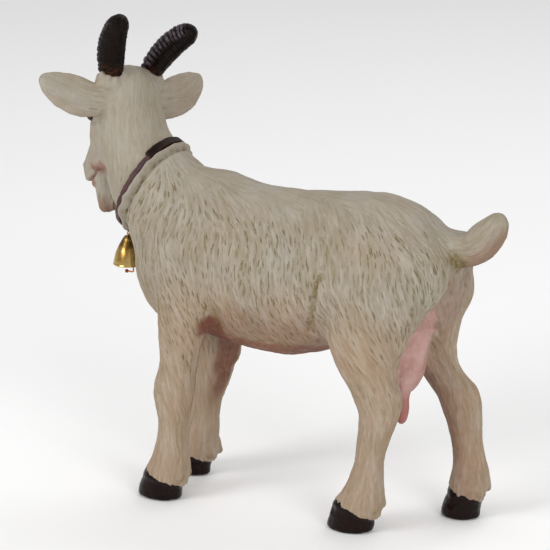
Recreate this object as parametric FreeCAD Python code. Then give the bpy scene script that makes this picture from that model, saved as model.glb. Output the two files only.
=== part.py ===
import FreeCAD, Part
import math
import os

"""Standing goat figurine in painted cast resin, with a leather collar and a brass bell that swings.

The castings are parted at flat seams and keyed together with round pegs. Everything is modelled in
the body frame: x = 0 is the trunk's mid-plane with the goat's left at +x, the goat faces -y, and
z = 0 is the ground. Writing the files moves the whole goat by ROW_SHIFT, which puts the origin at
the bottom centre of its bounding box. All lengths are millimetres and all angles degrees.
"""

V = FreeCAD.Vector
Rotation = FreeCAD.Rotation
Placement = FreeCAD.Placement

# ---- driving dimensions -------------------------------------------------------------------------
OUTLINE_POINTS = 16           # points on each closed section outline
BIG = 300.0                   # larger than the goat, for half-space tools
GLUE_GAP = 0.08               # radial room for glue round every peg
ROW_SHIFT = V(6.674, -1.108, 0.0)   # from the body frame to the written files

# Trunk sections, front to back: y, top z, bottom z, half width, widening towards the belly.
TRUNK = [
    (-37.2, 66.5, 57.0, 4.0, 0.00),
    (-34.9, 72.0, 50.5, 8.4, 0.00),
    (-30.0, 80.0, 45.0, 11.4, 0.02),
    (-21.0, 85.4, 42.6, 12.9, 0.05),
    (-10.0, 83.5, 41.4, 13.7, 0.08),
    (0.0, 81.9, 40.6, 14.2, 0.10),
    (10.0, 82.6, 41.2, 14.4, 0.08),
    (20.0, 83.6, 44.5, 14.2, 0.03),
    (29.0, 83.8, 48.5, 13.8, 0.00),
    (37.0, 82.1, 51.5, 12.8, 0.00),
    (43.5, 78.2, 54.5, 10.8, 0.00),
    (47.6, 73.6, 59.0, 7.0, 0.00),
    (49.0, 70.5, 63.0, 3.4, 0.00),
]

# Neck of the torso casting, shoulders to collar: centre, axis, half width, half depth.
NECK = [
    (V(0.0, -19.0, 61.5), V(0.00, -0.60, 0.80), 11.8, 16.8),
    (V(-0.3, -27.4, 70.6), V(-0.08, -0.78, 0.62), 11.6, 15.2),
    (V(-1.4, -33.2, 77.3), V(-0.18, -0.86, 0.47), 11.0, 13.3),
    (V(-2.4, -37.4, 80.1), V(-0.19, -0.86, 0.48), 10.9, 13.1),
]
# Neck of the head casting, collar to skull, in the same terms.
HEAD_NECK = [
    (V(-1.6, -33.8, 78.1), V(-0.18, -0.86, 0.47), 10.3, 12.7),
    (V(-2.7, -38.2, 83.0), V(-0.24, -0.76, 0.58), 9.2, 11.4),
    (V(-4.3, -41.4, 89.2), V(-0.22, -0.52, 0.80), 8.6, 9.4),
    (V(-5.4, -43.2, 94.6), V(-0.16, -0.28, 0.94), 8.4, 8.8),
    (V(-5.8, -44.2, 99.4), V(-0.10, -0.20, 0.97), 6.4, 6.6),
]
NECK_PEG_RADIUS, NECK_PEG_LENGTH = 4.0, 7.0

# The collar lies in one plane round the neck, where the head casting meets the torso casting.
COLLAR_CENTRE = V(-1.8, -34.9, 78.9)
COLLAR_AXIS = V(-0.187, -0.860, 0.476).normalize()
COLLAR_HALF_WIDTH, COLLAR_HALF_DEPTH = 11.2, 13.5
STRAP_WIDTH = 1.5
LAP_WIDTH, LAP_THICKNESS = 2.1, 0.3
LAP_START, LAP_END = -42.0, 40.0        # turn round the neck from the nape, left positive
RIDGE_RADIUS, RIDGE_SETBACK, RIDGE_SINK = 0.9, 1.3, 0.9  # roll of hair behind the collar

# Legs, top to bottom: x, y, z, half width, half depth. Every section lies level.
FRONT_LEG_LEFT = [
    (7.4, -20.0, 72.0, 3.2, 6.0),
    (8.2, -20.6, 65.0, 4.5, 9.0),
    (8.9, -20.9, 57.5, 5.0, 8.6),
    (9.3, -21.1, 50.0, 5.0, 7.2),
    (9.8, -21.7, 42.0, 4.5, 5.7),
    (10.0, -22.4, 36.0, 4.2, 5.1),
    (10.2, -23.4, 29.8, 4.4, 5.3),
    (10.2, -23.7, 23.5, 3.9, 4.5),
    (10.2, -24.0, 16.5, 3.8, 4.3),
    (10.3, -24.4, 11.5, 4.3, 4.9),
    (10.4, -25.6, 7.6, 4.7, 6.1),
    (10.4, -26.8, 3.0, 4.6, 6.2),
]
FRONT_LEG_RIGHT = [
    (-7.2, -18.6, 72.0, 3.2, 6.0),
    (-8.0, -19.0, 65.0, 4.5, 9.0),
    (-8.4, -19.2, 57.5, 5.0, 8.4),
    (-8.5, -19.4, 50.0, 5.0, 7.0),
    (-8.6, -19.4, 42.0, 4.5, 5.8),
    (-8.6, -19.9, 36.0, 4.2, 5.3),
    (-8.6, -21.4, 29.4, 4.4, 5.3),
    (-8.6, -23.0, 23.5, 3.9, 4.5),
    (-8.6, -24.4, 16.5, 3.8, 4.3),
    (-8.5, -25.4, 11.5, 4.3, 4.9),
    (-8.5, -26.8, 7.6, 4.7, 6.0),
    (-8.5, -28.0, 3.0, 4.6, 6.2),
]
HIND_LEG_LEFT = [
    (6.6, 35.0, 76.0, 3.8, 7.0),
    (8.0, 33.6, 68.0, 6.0, 11.0),
    (8.5, 31.8, 60.0, 6.6, 12.4),
    (8.9, 30.0, 53.0, 6.4, 11.4),
    (9.2, 28.6, 47.0, 6.0, 9.4),
    (9.5, 29.2, 41.5, 5.2, 7.3),
    (9.5, 31.6, 36.0, 4.6, 6.4),
    (9.5, 32.4, 31.5, 4.3, 5.4),
    (9.5, 31.4, 25.5, 3.9, 4.3),
    (9.5, 30.2, 19.5, 3.6, 3.8),
    (9.6, 29.4, 13.0, 4.1, 4.5),
    (9.7, 28.0, 8.6, 4.7, 6.0),
    (9.7, 26.6, 3.0, 4.7, 6.3),
]
HIND_LEG_RIGHT = [
    (-6.4, 36.0, 75.0, 3.6, 6.6),
    (-8.0, 37.6, 67.0, 6.0, 10.8),
    (-8.7, 37.3, 59.0, 6.5, 11.3),
    (-9.4, 36.8, 52.0, 6.2, 9.8),
    (-9.8, 36.8, 46.5, 5.6, 8.4),
    (-10.0, 38.4, 42.0, 5.0, 6.8),
    (-10.0, 40.2, 38.8, 4.7, 5.8),
    (-10.0, 43.0, 35.5, 4.5, 6.4),
    (-10.0, 46.0, 30.5, 4.3, 5.6),
    (-10.0, 47.5, 24.5, 3.9, 4.5),
    (-10.0, 48.5, 18.5, 3.6, 4.0),
    (-10.0, 49.4, 12.5, 4.1, 4.7),
    (-10.0, 49.0, 8.4, 4.5, 5.2),
    (-10.0, 47.6, 3.0, 4.5, 5.6),
]
LEGS = {
    "front_left": FRONT_LEG_LEFT,
    "front_right": FRONT_LEG_RIGHT,
    "hind_left": HIND_LEG_LEFT,
    "hind_right": HIND_LEG_RIGHT,
}
# Height at which each leg casting meets the torso, and the y of its peg there.
LEG_SEAMS = {
    "front_left": (45.0, -21.4),
    "front_right": (45.0, -19.4),
    "hind_left": (52.0, 30.0),
    "hind_right": (52.0, 37.0),
}
LEG_PEG_RADIUS, LEG_PEG_LENGTH = 2.2, 6.0

# Hooves: centre x and y on the ground, and half length.
HOOVES = {
    "front_left": (10.4, -27.9, 6.1),
    "front_right": (-8.5, -29.1, 6.2),
    "hind_left": (9.7, 25.2, 6.2),
    "hind_right": (-10.0, 47.0, 5.2),
}
HOOF_HALF_WIDTH = 4.5
HOOF_FRONT_HEIGHT, HOOF_HEEL_HEIGHT = 6.6, 4.0
HOOF_CLEFT_WIDTH, HOOF_CLEFT_SHARE = 0.7, 0.62
HOOF_PEG_RADIUS, HOOF_PEG_LENGTH = 1.6, 2.4

# Head frame: origin inside the skull, turned to the goat's right and a little tilted.
HEAD_ORIGIN = V(-6.0, -45.2, 97.5)
HEAD_YAW, HEAD_PITCH, HEAD_ROLL = -30.0, 4.7, -9.0
# Head sections, crown to lips, in the head frame: y, z, lean of the section's axis forward of
# straight down, half width, half depth.
HEAD = [
    (2.2, 10.4, 8.0, 3.6, 3.6),
    (1.9, 8.2, 12.0, 6.8, 6.8),
    (1.0, 4.0, 20.0, 8.6, 8.9),
    (-0.6, -0.8, 28.0, 8.4, 8.9),
    (-2.8, -5.6, 34.0, 7.0, 7.8),
    (-5.0, -9.8, 38.0, 5.4, 6.6),
    (-7.4, -13.4, 42.0, 4.5, 5.5),
    (-9.3, -16.6, 42.0, 4.5, 4.9),
    (-11.0, -18.9, 40.0, 3.7, 4.0),
    (-11.8, -20.2, 38.0, 2.0, 2.2),
]
# Beard, in the head frame: y, z, half width, half depth, level sections.
BEARD = [
    (-7.6, -17.0, 3.0, 3.6),
    (-6.6, -21.0, 2.7, 3.2),
    (-5.4, -24.6, 2.2, 2.7),
    (-4.7, -27.6, 1.2, 1.4),
]
BEARD_SEAM_Z = -22.0
BEARD_PEG_RADIUS, BEARD_PEG_LENGTH = 0.9, 2.0
# Ears, in the head frame: x, y, z of the blade's mid-line, half breadth, half thickness. The right
# ear is carried a little higher and is given here as if it stood on the left.
EAR_LEFT = [
    (6.6, 3.0, 1.4, 3.2, 2.0),
    (10.0, 2.4, 1.6, 3.9, 1.8),
    (14.0, 1.4, 2.2, 4.5, 1.4),
    (18.5, 0.0, 3.9, 4.0, 1.1),
    (22.2, -1.2, 5.5, 2.6, 0.9),
    (24.0, -1.8, 6.4, 1.2, 0.6),
]
EAR_RIGHT = [
    (6.6, 3.0, 1.6, 3.2, 2.0),
    (10.0, 2.4, 2.2, 3.9, 1.8),
    (14.0, 1.4, 3.4, 4.7, 1.4),
    (18.5, 0.2, 4.9, 4.3, 1.1),
    (21.8, -1.0, 6.6, 3.0, 0.9),
    (23.5, -1.6, 7.8, 1.5, 0.6),
]
EAR_SEAM_X = 10.4
EAR_PEG_RADIUS, EAR_PEG_LENGTH = 0.9, 3.0
# Horns, in the head frame: x, y, z of the mid-line, radius. The right horn sweeps back lower and is
# given here as if it stood on the left.
HORN_LEFT = [
    (6.2, 2.6, 7.2, 3.1),
    (7.1, 3.5, 10.5, 3.6),
    (8.4, 5.2, 14.6, 3.75),
    (9.6, 8.0, 18.6, 3.35),
    (10.8, 11.4, 21.5, 2.6),
    (11.4, 13.2, 22.6, 1.4),
]
HORN_RIGHT = [
    (5.9, 2.4, 7.2, 3.0),
    (6.4, 3.6, 10.5, 3.4),
    (7.5, 5.6, 14.2, 3.5),
    (9.0, 8.4, 17.6, 3.3),
    (10.5, 11.4, 19.8, 2.8),
    (11.2, 13.0, 20.5, 1.6),
]
HORN_SIDE_SHARE = 0.92        # a horn's side-to-side radius as a share of its fore-and-aft radius
HORN_SEAM_SHARE = 0.55        # how far along its first stretch a horn is seated on the head
HORN_PEG_RADIUS, HORN_PEG_LENGTH = 1.3, 4.0
EYE_CENTRE, EYE_RADIUS = V(7.2, -3.4, -2.6), 1.6

# Tail, root to tip: y, z of the mid-line, half width, half depth.
TAIL = [
    (43.0, 73.4, 3.6, 4.6),
    (47.5, 72.2, 3.4, 4.8),
    (51.8, 73.2, 3.3, 4.9),
    (55.6, 75.8, 3.0, 4.4),
    (58.4, 79.0, 2.5, 3.4),
    (59.8, 81.6, 1.4, 1.7),
]
TAIL_SEAM_Y = 50.6
TAIL_PEG_RADIUS, TAIL_PEG_LENGTH = 1.8, 4.5

# Udder, top to bottom: y, z, half width, half depth. Then each teat's top, tip and radii.
UDDER = [
    (33.4, 60.0, 4.6, 5.0),
    (33.6, 53.0, 6.0, 6.8),
    (33.6, 46.0, 6.2, 7.4),
    (33.8, 40.0, 5.4, 6.4),
    (34.2, 36.2, 4.0, 4.2),
    (34.4, 34.4, 2.0, 2.1),
]
TEATS = [(V(2.6, 35.4, 38.0), V(2.9, 35.9, 28.0)), (V(-2.6, 33.4, 38.0), V(-2.8, 33.0, 29.4))]
TEAT_TOP_RADIUS, TEAT_TIP_RADIUS = 1.8, 1.1
UDDER_PEG_RADIUS, UDDER_PEG_LENGTH, UDDER_PEG_Z = 2.0, 6.0, 48.0

# Bell and its hanging hardware. The bell hangs straight down at rest.
WIRE_RADIUS = 0.2
STAPLE_STAND_OFF = 0.64       # from the strap's face to the staple's bar
STAPLE_HALF_SPAN, STAPLE_LEG = 0.85, 2.6
RING_RADIUS = 0.7             # centre-line radius of the jump ring
HANGER_RADIUS = 0.65          # centre-line radius of the hanger's outer eye
INNER_EYE_RADIUS = 0.5        # centre-line radius of the hanger's eye inside the bell
BELL_HEIGHT, BELL_MOUTH_RADIUS, BELL_TOP_RADIUS, BELL_WALL = 7.6, 4.2, 0.9, 0.35
BELL_PROFILE = [(0.10, 0.38), (0.32, 0.60), (0.64, 0.86), (1.0, 1.0)]
CLAPPER_WIRE_RADIUS, CLAPPER_EYE_RADIUS = 0.22, 0.62
CLAPPER_REACH_BELOW = 2.1     # from the bell's mouth down to the clapper's foot
CLAPPER_HEEL, CLAPPER_TOE = 1.3, -0.8
CLAPPER_BEND, CLAPPER_BEAD_RADIUS = 0.45, 0.5
LINK_PLAY = 0.05              # running clearance between two linked wires


# ---- shared shape helpers -----------------------------------------------------------------------
def outline(centre, axis, side, half_side, half_depth, widen=0.0):
    """Closed smooth outline round centre, square to axis, made fatter away from +depth by widen."""
    axis = V(axis).normalize()
    depth = axis.cross(side).normalize()
    side = depth.cross(axis).normalize()
    points = []
    for k in range(OUTLINE_POINTS):
        turn = 2 * math.pi * k / OUTLINE_POINTS
        reach = half_side * (1 - widen * math.sin(turn))
        points.append(centre + side * (reach * math.cos(turn)) + depth * (half_depth * math.sin(turn)))
    curve = Part.BSplineCurve()
    curve.interpolate(Points=points, PeriodicFlag=True)
    return Part.Wire(curve.toShape())


def skin(outlines):
    """Smooth closed solid through the outlines."""
    return Part.makeLoft(outlines, True, False)


def level_loft(sections):
    """Solid through level outlines, each given as x, y, z, half width, half depth."""
    return skin([outline(V(x, y, z), V(0, 0, 1), V(1, 0, 0), a, b) for x, y, z, a, b in sections])


def path_directions(points):
    """Direction of travel at each point of a path, from its neighbours."""
    last = len(points) - 1
    return [points[min(i + 1, last)] - points[max(i - 1, 0)] for i in range(last + 1)]


def key_together(limb, host, foot, direction, radius, length):
    """Adds a peg to limb, standing at foot and pointing into host, and cuts its socket in host."""
    direction = V(direction).normalize()
    buried = radius * 0.5
    limb = limb.fuse(Part.makeCylinder(radius, length + buried, foot - direction * buried, direction))
    host = host.cut(Part.makeCylinder(radius + GLUE_GAP, length + GLUE_GAP, foot, direction))
    return limb, host


def half_space(point, direction):
    """Block that fills the side of a plane that direction points to."""
    block = Part.makeBox(BIG, BIG, BIG, V(-BIG / 2, -BIG / 2, 0))
    block.Placement = Placement(point, Rotation(V(0, 0, 1), direction))
    return block


def head_placement():
    turn = Rotation(V(0, 0, 1), HEAD_YAW)
    turn = turn.multiply(Rotation(V(1, 0, 0), HEAD_PITCH))
    turn = turn.multiply(Rotation(V(0, 1, 0), HEAD_ROLL))
    return Placement(HEAD_ORIGIN, turn)


def in_head(shape):
    """A shape made in the head frame, moved to its place on the goat."""
    moved = shape.copy()
    moved.Placement = head_placement().multiply(moved.Placement)
    return moved


def mirror_if(flip, shape):
    return shape.mirror(V(0, 0, 0), V(1, 0, 0)) if flip else shape


def largest(shape):
    return max(shape.Solids, key=lambda solid: solid.Volume)


# ---- castings -----------------------------------------------------------------------------------
def trunk_form():
    outlines = []
    for y, top, bottom, half_width, widen in TRUNK:
        centre = V(0, y, (top + bottom) / 2)
        outlines.append(outline(centre, V(0, -1, 0), V(-1, 0, 0), half_width, (top - bottom) / 2, widen))
    return skin(outlines)


def neck_form(sections):
    return skin([outline(centre, axis, V(-1, 0, 0), a, b) for centre, axis, a, b in sections])


def hair_ridge():
    """Roll of hair standing round the neck just behind the collar."""
    centre = COLLAR_CENTRE - COLLAR_AXIS * RIDGE_SETBACK
    path = outline(
        centre, COLLAR_AXIS, V(-1, 0, 0), COLLAR_HALF_WIDTH - RIDGE_SINK, COLLAR_HALF_DEPTH - RIDGE_SINK)
    edge = path.Edges[0]
    start = edge.valueAt(edge.FirstParameter)
    section = Part.Wire(Part.makeCircle(RIDGE_RADIUS, start, edge.tangentAt(edge.FirstParameter)))
    return path.makePipeShell([section], True, False)


def skull_form():
    """Skull and muzzle, in the head frame."""
    outlines = []
    for y, z, lean, half_width, half_depth in HEAD:
        lean = math.radians(lean)
        axis = V(0, -math.sin(lean), -math.cos(lean))
        outlines.append(outline(V(0, y, z), axis, V(-1, 0, 0), half_width, half_depth))
    return skin(outlines)


def blade_form(path, side):
    """Solid along a path of x, y, z, half breadth, half thickness, thin in the direction of side."""
    points = [V(x, y, z) for x, y, z, _, _ in path]
    outlines = []
    for point, along, (_, _, _, breadth, thickness) in zip(points, path_directions(points), path):
        outlines.append(outline(point, along, side, thickness, breadth))
    return skin(outlines)


def ear_form(path):
    return blade_form(path, V(0, 1, 0))


def horn_form(path):
    return blade_form([(x, y, z, r, r * HORN_SIDE_SHARE) for x, y, z, r in path], V(1, 0, 0))


def tail_form():
    return blade_form([(0, y, z, depth, width) for y, z, width, depth in TAIL], V(1, 0, 0))


def udder_form():
    bag = level_loft([(0, y, z, a, b) for y, z, a, b in UDDER])
    for top, tip in TEATS:
        teat = Part.makeCone(TEAT_TOP_RADIUS, TEAT_TIP_RADIUS, (tip - top).Length, top, tip - top)
        bag = bag.fuse([teat, Part.makeSphere(TEAT_TIP_RADIUS, tip)])
    return bag


def point_on_leg(name, z):
    """Point of the leg's mid-line at height z."""
    rows = LEGS[name]
    for upper, lower in zip(rows, rows[1:]):
        if upper[2] >= z >= lower[2]:
            share = (upper[2] - z) / (upper[2] - lower[2])
            return V(*[upper[i] + (lower[i] - upper[i]) * share for i in range(3)])
    raise ValueError(name)


def coronet(name):
    """Plane where a leg meets its hoof: a point on it and its upward normal."""
    x, y, half_length = HOOVES[name]
    slope = (HOOF_FRONT_HEIGHT - HOOF_HEEL_HEIGHT) / (2 * half_length)
    middle = V(x, y, (HOOF_FRONT_HEIGHT + HOOF_HEEL_HEIGHT) / 2)
    return middle, V(0, slope, 1).normalize()


def hoof_form(name):
    """Cloven hoof under a sloping coronet. The cleft runs from the toes back and stops at the heel."""
    x, y, half_length = HOOVES[name]
    middle, up = coronet(name)
    block = level_loft([
        (x, y, 0.0, HOOF_HALF_WIDTH * 1.02, half_length * 1.02),
        (x, y + 0.3, 2.4, HOOF_HALF_WIDTH * 1.01, half_length),
        (x, y + 0.9, 5.2, HOOF_HALF_WIDTH * 0.96, half_length * 0.95),
        (x, y + 1.6, 8.5, HOOF_HALF_WIDTH * 0.9, half_length * 0.88),
    ])
    block = block.cut(half_space(middle, up))
    cleft_end = y - half_length + 2 * half_length * HOOF_CLEFT_SHARE
    corner = V(x - HOOF_CLEFT_WIDTH / 2, cleft_end - BIG, -1.0)
    cleft = Part.makeBox(HOOF_CLEFT_WIDTH, BIG, HOOF_FRONT_HEIGHT - 0.4, corner)
    return block.cut(cleft)


def limb(name):
    """A leg casting and its hoof, keyed together, and the part of the leg that stays on the torso."""
    whole = level_loft(LEGS[name])
    seam = V(0, 0, LEG_SEAMS[name][0])
    upper = whole.common(half_space(seam, V(0, 0, 1)))
    middle, up = coronet(name)
    leg = whole.cut(half_space(seam, V(0, 0, 1))).common(half_space(middle, up))
    foot = middle + V(0, 1.6, -1.6 * up.y / up.z)
    hoof, leg = key_together(hoof_form(name), leg, foot, up, HOOF_PEG_RADIUS, HOOF_PEG_LENGTH)
    return leg, upper, hoof


# ---- collar and bell ----------------------------------------------------------------------------
def collar_frame():
    """Unit vectors in the collar's plane, towards the goat's left and towards the nape."""
    up = V(-1, 0, 0).cross(COLLAR_AXIS).normalize()
    left = up.cross(COLLAR_AXIS).normalize()
    return left, up


def strap_band(width, extra):
    outlines = []
    for ahead in (0.0, width):
        outlines.append(outline(
            COLLAR_CENTRE + COLLAR_AXIS * ahead, COLLAR_AXIS, V(-1, 0, 0),
            COLLAR_HALF_WIDTH + extra, COLLAR_HALF_DEPTH + extra))
    return skin(outlines)


def collar_strap(head):
    """Strap round the neck, with its lapped end lying over the nape and the left side."""
    left, up = collar_frame()
    lap = strap_band(LAP_WIDTH, LAP_THICKNESS)
    for turn, sense in ((LAP_START, 1), (LAP_END, -1)):
        turn = math.radians(turn)
        across = left * (math.cos(turn) * sense) - up * (math.sin(turn) * sense)
        lap = lap.common(half_space(COLLAR_CENTRE, across))
    return largest(strap_band(STRAP_WIDTH, 0.0).fuse(lap).cut(head))


def throat():
    """Middle of the strap's outer face under the throat, and the directions out and to the left."""
    left, up = collar_frame()
    face = COLLAR_CENTRE + COLLAR_AXIS * (STRAP_WIDTH / 2) - up * COLLAR_HALF_DEPTH
    return face, V(up) * -1, left


def round_wire(points, radius, bend):
    """Wire of round section along straight runs, with a bend of the given radius at each corner."""
    edges = []
    start = points[0]
    for corner, after in zip(points[1:-1], points[2:]):
        into = (corner - start).normalize()
        away = (after - corner).normalize()
        half_turn = into.getAngle(away) / 2
        cut_back = bend * math.tan(half_turn)
        arc_start, arc_end = corner - into * cut_back, corner + away * cut_back
        inward = (away - into).normalize()
        arc_middle = corner + inward * (bend / math.cos(half_turn) - bend)
        edges.append(Part.makeLine(start, arc_start))
        edges.append(Part.Arc(arc_start, arc_middle, arc_end).toShape())
        start = arc_end
    edges.append(Part.makeLine(start, points[-1]))
    path = Part.Wire(edges)
    section = Part.Wire(Part.makeCircle(radius, points[0], points[1] - points[0]))
    return path.makePipeShell([section], True, False)


def ring(centre, normal, radius, wire_radius):
    return Part.makeTorus(radius, wire_radius, centre, normal)


def bar_centre():
    """Middle of the staple's bar, on which the jump ring hangs."""
    face, out, _ = throat()
    return face + out * STAPLE_STAND_OFF


def staple():
    """Wire staple driven through the strap: a level bar and two legs."""
    _, out, left = throat()
    left_end = bar_centre() + left * STAPLE_HALF_SPAN
    right_end = bar_centre() - left * STAPLE_HALF_SPAN
    points = [left_end - out * STAPLE_LEG, left_end, right_end, right_end - out * STAPLE_LEG]
    return round_wire(points, WIRE_RADIUS, WIRE_RADIUS * 1.6)


def ring_centre():
    return bar_centre() + V(0, 0, 2 * WIRE_RADIUS + LINK_PLAY - RING_RADIUS)


def hanger_centre():
    return ring_centre() + V(0, 0, 2 * WIRE_RADIUS + LINK_PLAY - RING_RADIUS - HANGER_RADIUS)


def bell_top():
    """Point on the bell's axis at the outside of its crown."""
    return hanger_centre() - V(0, 0, HANGER_RADIUS + WIRE_RADIUS)


def bell_solid(offset):
    """Solid of revolution under the bell's profile, shrunk by offset and closed across the mouth."""
    top = bell_top() - V(0, 0, offset)
    mouth_z = bell_top().z - BELL_HEIGHT
    points = [top + V(BELL_TOP_RADIUS - offset * 0.5, 0, -offset * 0.2)]
    for depth, share in BELL_PROFILE:
        points.append(V(top.x + BELL_MOUTH_RADIUS * share - offset, top.y, bell_top().z - BELL_HEIGHT * depth))
    side = Part.BSplineCurve()
    side.interpolate(points)
    axis_foot = V(top.x, top.y, mouth_z)
    crown_edge = Part.makeLine(V(top.x, top.y, points[0].z), points[0])
    mouth_edge = Part.makeLine(points[-1], axis_foot)
    axis_edge = Part.makeLine(axis_foot, V(top.x, top.y, points[0].z))
    face = Part.Face(Part.Wire([crown_edge, side.toShape(), mouth_edge, axis_edge]))
    return face.revolve(top, V(0, 0, 1), 360)


def inner_eye_centre():
    return bell_top() - V(0, 0, BELL_WALL + INNER_EYE_RADIUS + WIRE_RADIUS)


def hanger():
    """Bent wire through the bell's crown: one eye above it, and a smaller eye inside it."""
    outer = ring(hanger_centre(), V(0, 1, 0), HANGER_RADIUS, WIRE_RADIUS)
    inner = ring(inner_eye_centre(), V(0, 1, 0), INNER_EYE_RADIUS, WIRE_RADIUS)
    stem_top = hanger_centre() - V(0, 0, HANGER_RADIUS)
    stem_foot = inner_eye_centre() + V(0, 0, INNER_EYE_RADIUS)
    stem = Part.makeCylinder(WIRE_RADIUS, (stem_top - stem_foot).Length, stem_foot, V(0, 0, 1))
    return outer.fuse([inner, stem])


def clapper_pivot():
    """Lowest point of the inner eye's centre line, on which the clapper's own eye hangs."""
    return inner_eye_centre() - V(0, 0, INNER_EYE_RADIUS)


def clapper():
    """Bent wire: an eye round the hanger's inner eye, a stem, and a foot with a striking bead."""
    lift = WIRE_RADIUS + CLAPPER_WIRE_RADIUS + LINK_PLAY
    eye = clapper_pivot() + V(0, 0, lift - CLAPPER_EYE_RADIUS)
    hook = ring(eye, V(1, 0, 0), CLAPPER_EYE_RADIUS, CLAPPER_WIRE_RADIUS)
    stem_top = eye - V(0, 0, CLAPPER_EYE_RADIUS)
    foot_z = bell_top().z - BELL_HEIGHT - CLAPPER_REACH_BELOW
    heel = V(eye.x, eye.y + CLAPPER_HEEL, foot_z)
    toe = V(eye.x, eye.y + CLAPPER_TOE, foot_z)
    stem = round_wire([stem_top, heel, toe], CLAPPER_WIRE_RADIUS, CLAPPER_BEND)
    return hook.fuse([stem, Part.makeSphere(CLAPPER_BEAD_RADIUS, toe)])


# ---- assembly -----------------------------------------------------------------------------------
def build_head():
    """The head casting with everything that is keyed to it, as a dictionary of solids."""
    nodes = {}
    ahead = half_space(COLLAR_CENTRE, COLLAR_AXIS)
    head = neck_form(HEAD_NECK).common(ahead).fuse(in_head(skull_form()))

    below = half_space(V(0, 0, BEARD_SEAM_Z), V(0, 0, -1))
    whole = level_loft([(0, y, z, a, b) for y, z, a, b in BEARD])
    head = head.fuse(in_head(whole.cut(below)))
    beard = in_head(whole.common(below)).cut(head)
    turn = head_placement()
    foot = turn.multVec(V(0, BEARD[1][0], BEARD_SEAM_Z))
    nodes["beard"], head = key_together(
        beard, head, foot, turn.Rotation.multVec(V(0, 0, 1)), BEARD_PEG_RADIUS, BEARD_PEG_LENGTH)

    for side, flip, ear_path, horn_path in (
            ("left", False, EAR_LEFT, HORN_LEFT), ("right", True, EAR_RIGHT, HORN_RIGHT)):
        sign = -1 if flip else 1

        outside = half_space(V(EAR_SEAM_X, 0, 0), V(1, 0, 0))
        whole = ear_form(ear_path)
        head = head.fuse(in_head(mirror_if(flip, whole.cut(outside))))
        ear = in_head(mirror_if(flip, whole.common(outside))).cut(head)
        x, y, z = ear_path[1][:3]
        foot = turn.multVec(V(sign * EAR_SEAM_X, y, z + 0.2))
        inward = turn.Rotation.multVec(V(-sign, 0, 0))
        ear, head = key_together(ear, head, foot, inward, EAR_PEG_RADIUS, EAR_PEG_LENGTH)

        low, high = V(*horn_path[0][:3]), V(*horn_path[1][:3])
        seat = low + (high - low) * HORN_SEAM_SHARE
        up = (high - low).normalize()
        above = half_space(seat, up)
        whole = horn_form(horn_path)
        head = head.fuse(in_head(mirror_if(flip, whole.cut(above))))
        horn = in_head(mirror_if(flip, whole.common(above))).cut(head)
        foot = turn.multVec(V(sign * seat.x, seat.y, seat.z))
        down = turn.Rotation.multVec(V(-sign * up.x, -up.y, -up.z))
        horn, head = key_together(horn, head, foot, down, HORN_PEG_RADIUS, HORN_PEG_LENGTH)

        centre = V(sign * EYE_CENTRE.x, EYE_CENTRE.y, EYE_CENTRE.z)
        eye = in_head(Part.makeSphere(EYE_RADIUS, centre, V(sign, 0, 0)))
        head = head.cut(eye)
        nodes["ear_" + side], nodes["horn_" + side], nodes["eye_" + side] = ear, horn, eye
    nodes["head"] = head
    return nodes


def build():
    nodes = build_head()
    head = nodes["head"]
    ahead = half_space(COLLAR_CENTRE, COLLAR_AXIS)
    torso = trunk_form().fuse([neck_form(NECK), hair_ridge()]).cut(ahead)

    for name in LEGS:
        leg, upper, hoof = limb(name)
        torso = torso.fuse(upper)
        nodes["leg_" + name], nodes["hoof_" + name] = leg, hoof
    for name in LEGS:
        seam_z, peg_y = LEG_SEAMS[name]
        torso = torso.cut(nodes["leg_" + name])
        foot = V(point_on_leg(name, seam_z).x, peg_y, seam_z)
        nodes["leg_" + name], torso = key_together(
            nodes["leg_" + name], torso, foot, V(0, 0, 1), LEG_PEG_RADIUS, LEG_PEG_LENGTH)

    whole_tail = tail_form()
    behind = half_space(V(0, TAIL_SEAM_Y, 0), V(0, 1, 0))
    torso = torso.fuse(whole_tail.cut(behind))
    foot = V(0, TAIL_SEAM_Y, TAIL[1][1] + 0.6)
    nodes["tail"], torso = key_together(
        whole_tail.common(behind), torso, foot, V(0, -1, 0), TAIL_PEG_RADIUS, TAIL_PEG_LENGTH)

    legs = [nodes["leg_hind_left"], nodes["leg_hind_right"]]
    udder = largest(udder_form().cut([torso] + legs))
    foot = V(0, UDDER[1][0], UDDER_PEG_Z)
    nodes["udder"], torso = key_together(
        udder, torso, foot, V(0, 0, 1), UDDER_PEG_RADIUS, UDDER_PEG_LENGTH)

    up = collar_frame()[1]
    foot = COLLAR_CENTRE - up * 0.5
    head, torso = key_together(head, torso, foot, COLLAR_AXIS * -1, NECK_PEG_RADIUS, NECK_PEG_LENGTH)

    wire = staple()
    nodes["head"] = head.cut(wire)
    nodes["torso"] = torso.cut(wire)
    nodes["collar_strap"] = collar_strap(head).cut(wire)
    nodes["bell_staple"] = wire
    nodes["bell_ring"] = ring(ring_centre(), V(1, 0, 0), RING_RADIUS, WIRE_RADIUS)
    nodes["bell_hanger"] = hanger()
    nodes["bell_shell"] = bell_solid(0.0).cut(bell_solid(BELL_WALL)).cut(nodes["bell_hanger"])
    nodes["clapper"] = clapper()
    return nodes


def write_parts(nodes):
    os.makedirs("parts", exist_ok=True)
    for name, shape in nodes.items():
        if shape.ShapeType != "Solid" and len(shape.Solids) == 1:
            shape = shape.Solids[0]
        placed = shape.copy()
        placed.translate(ROW_SHIFT)
        placed.exportStep("parts/" + name + ".step")
        print(name, placed.isValid(), len(placed.Solids), round(placed.Volume, 2))


if __name__ == "__main__":
    write_parts(build())
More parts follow.
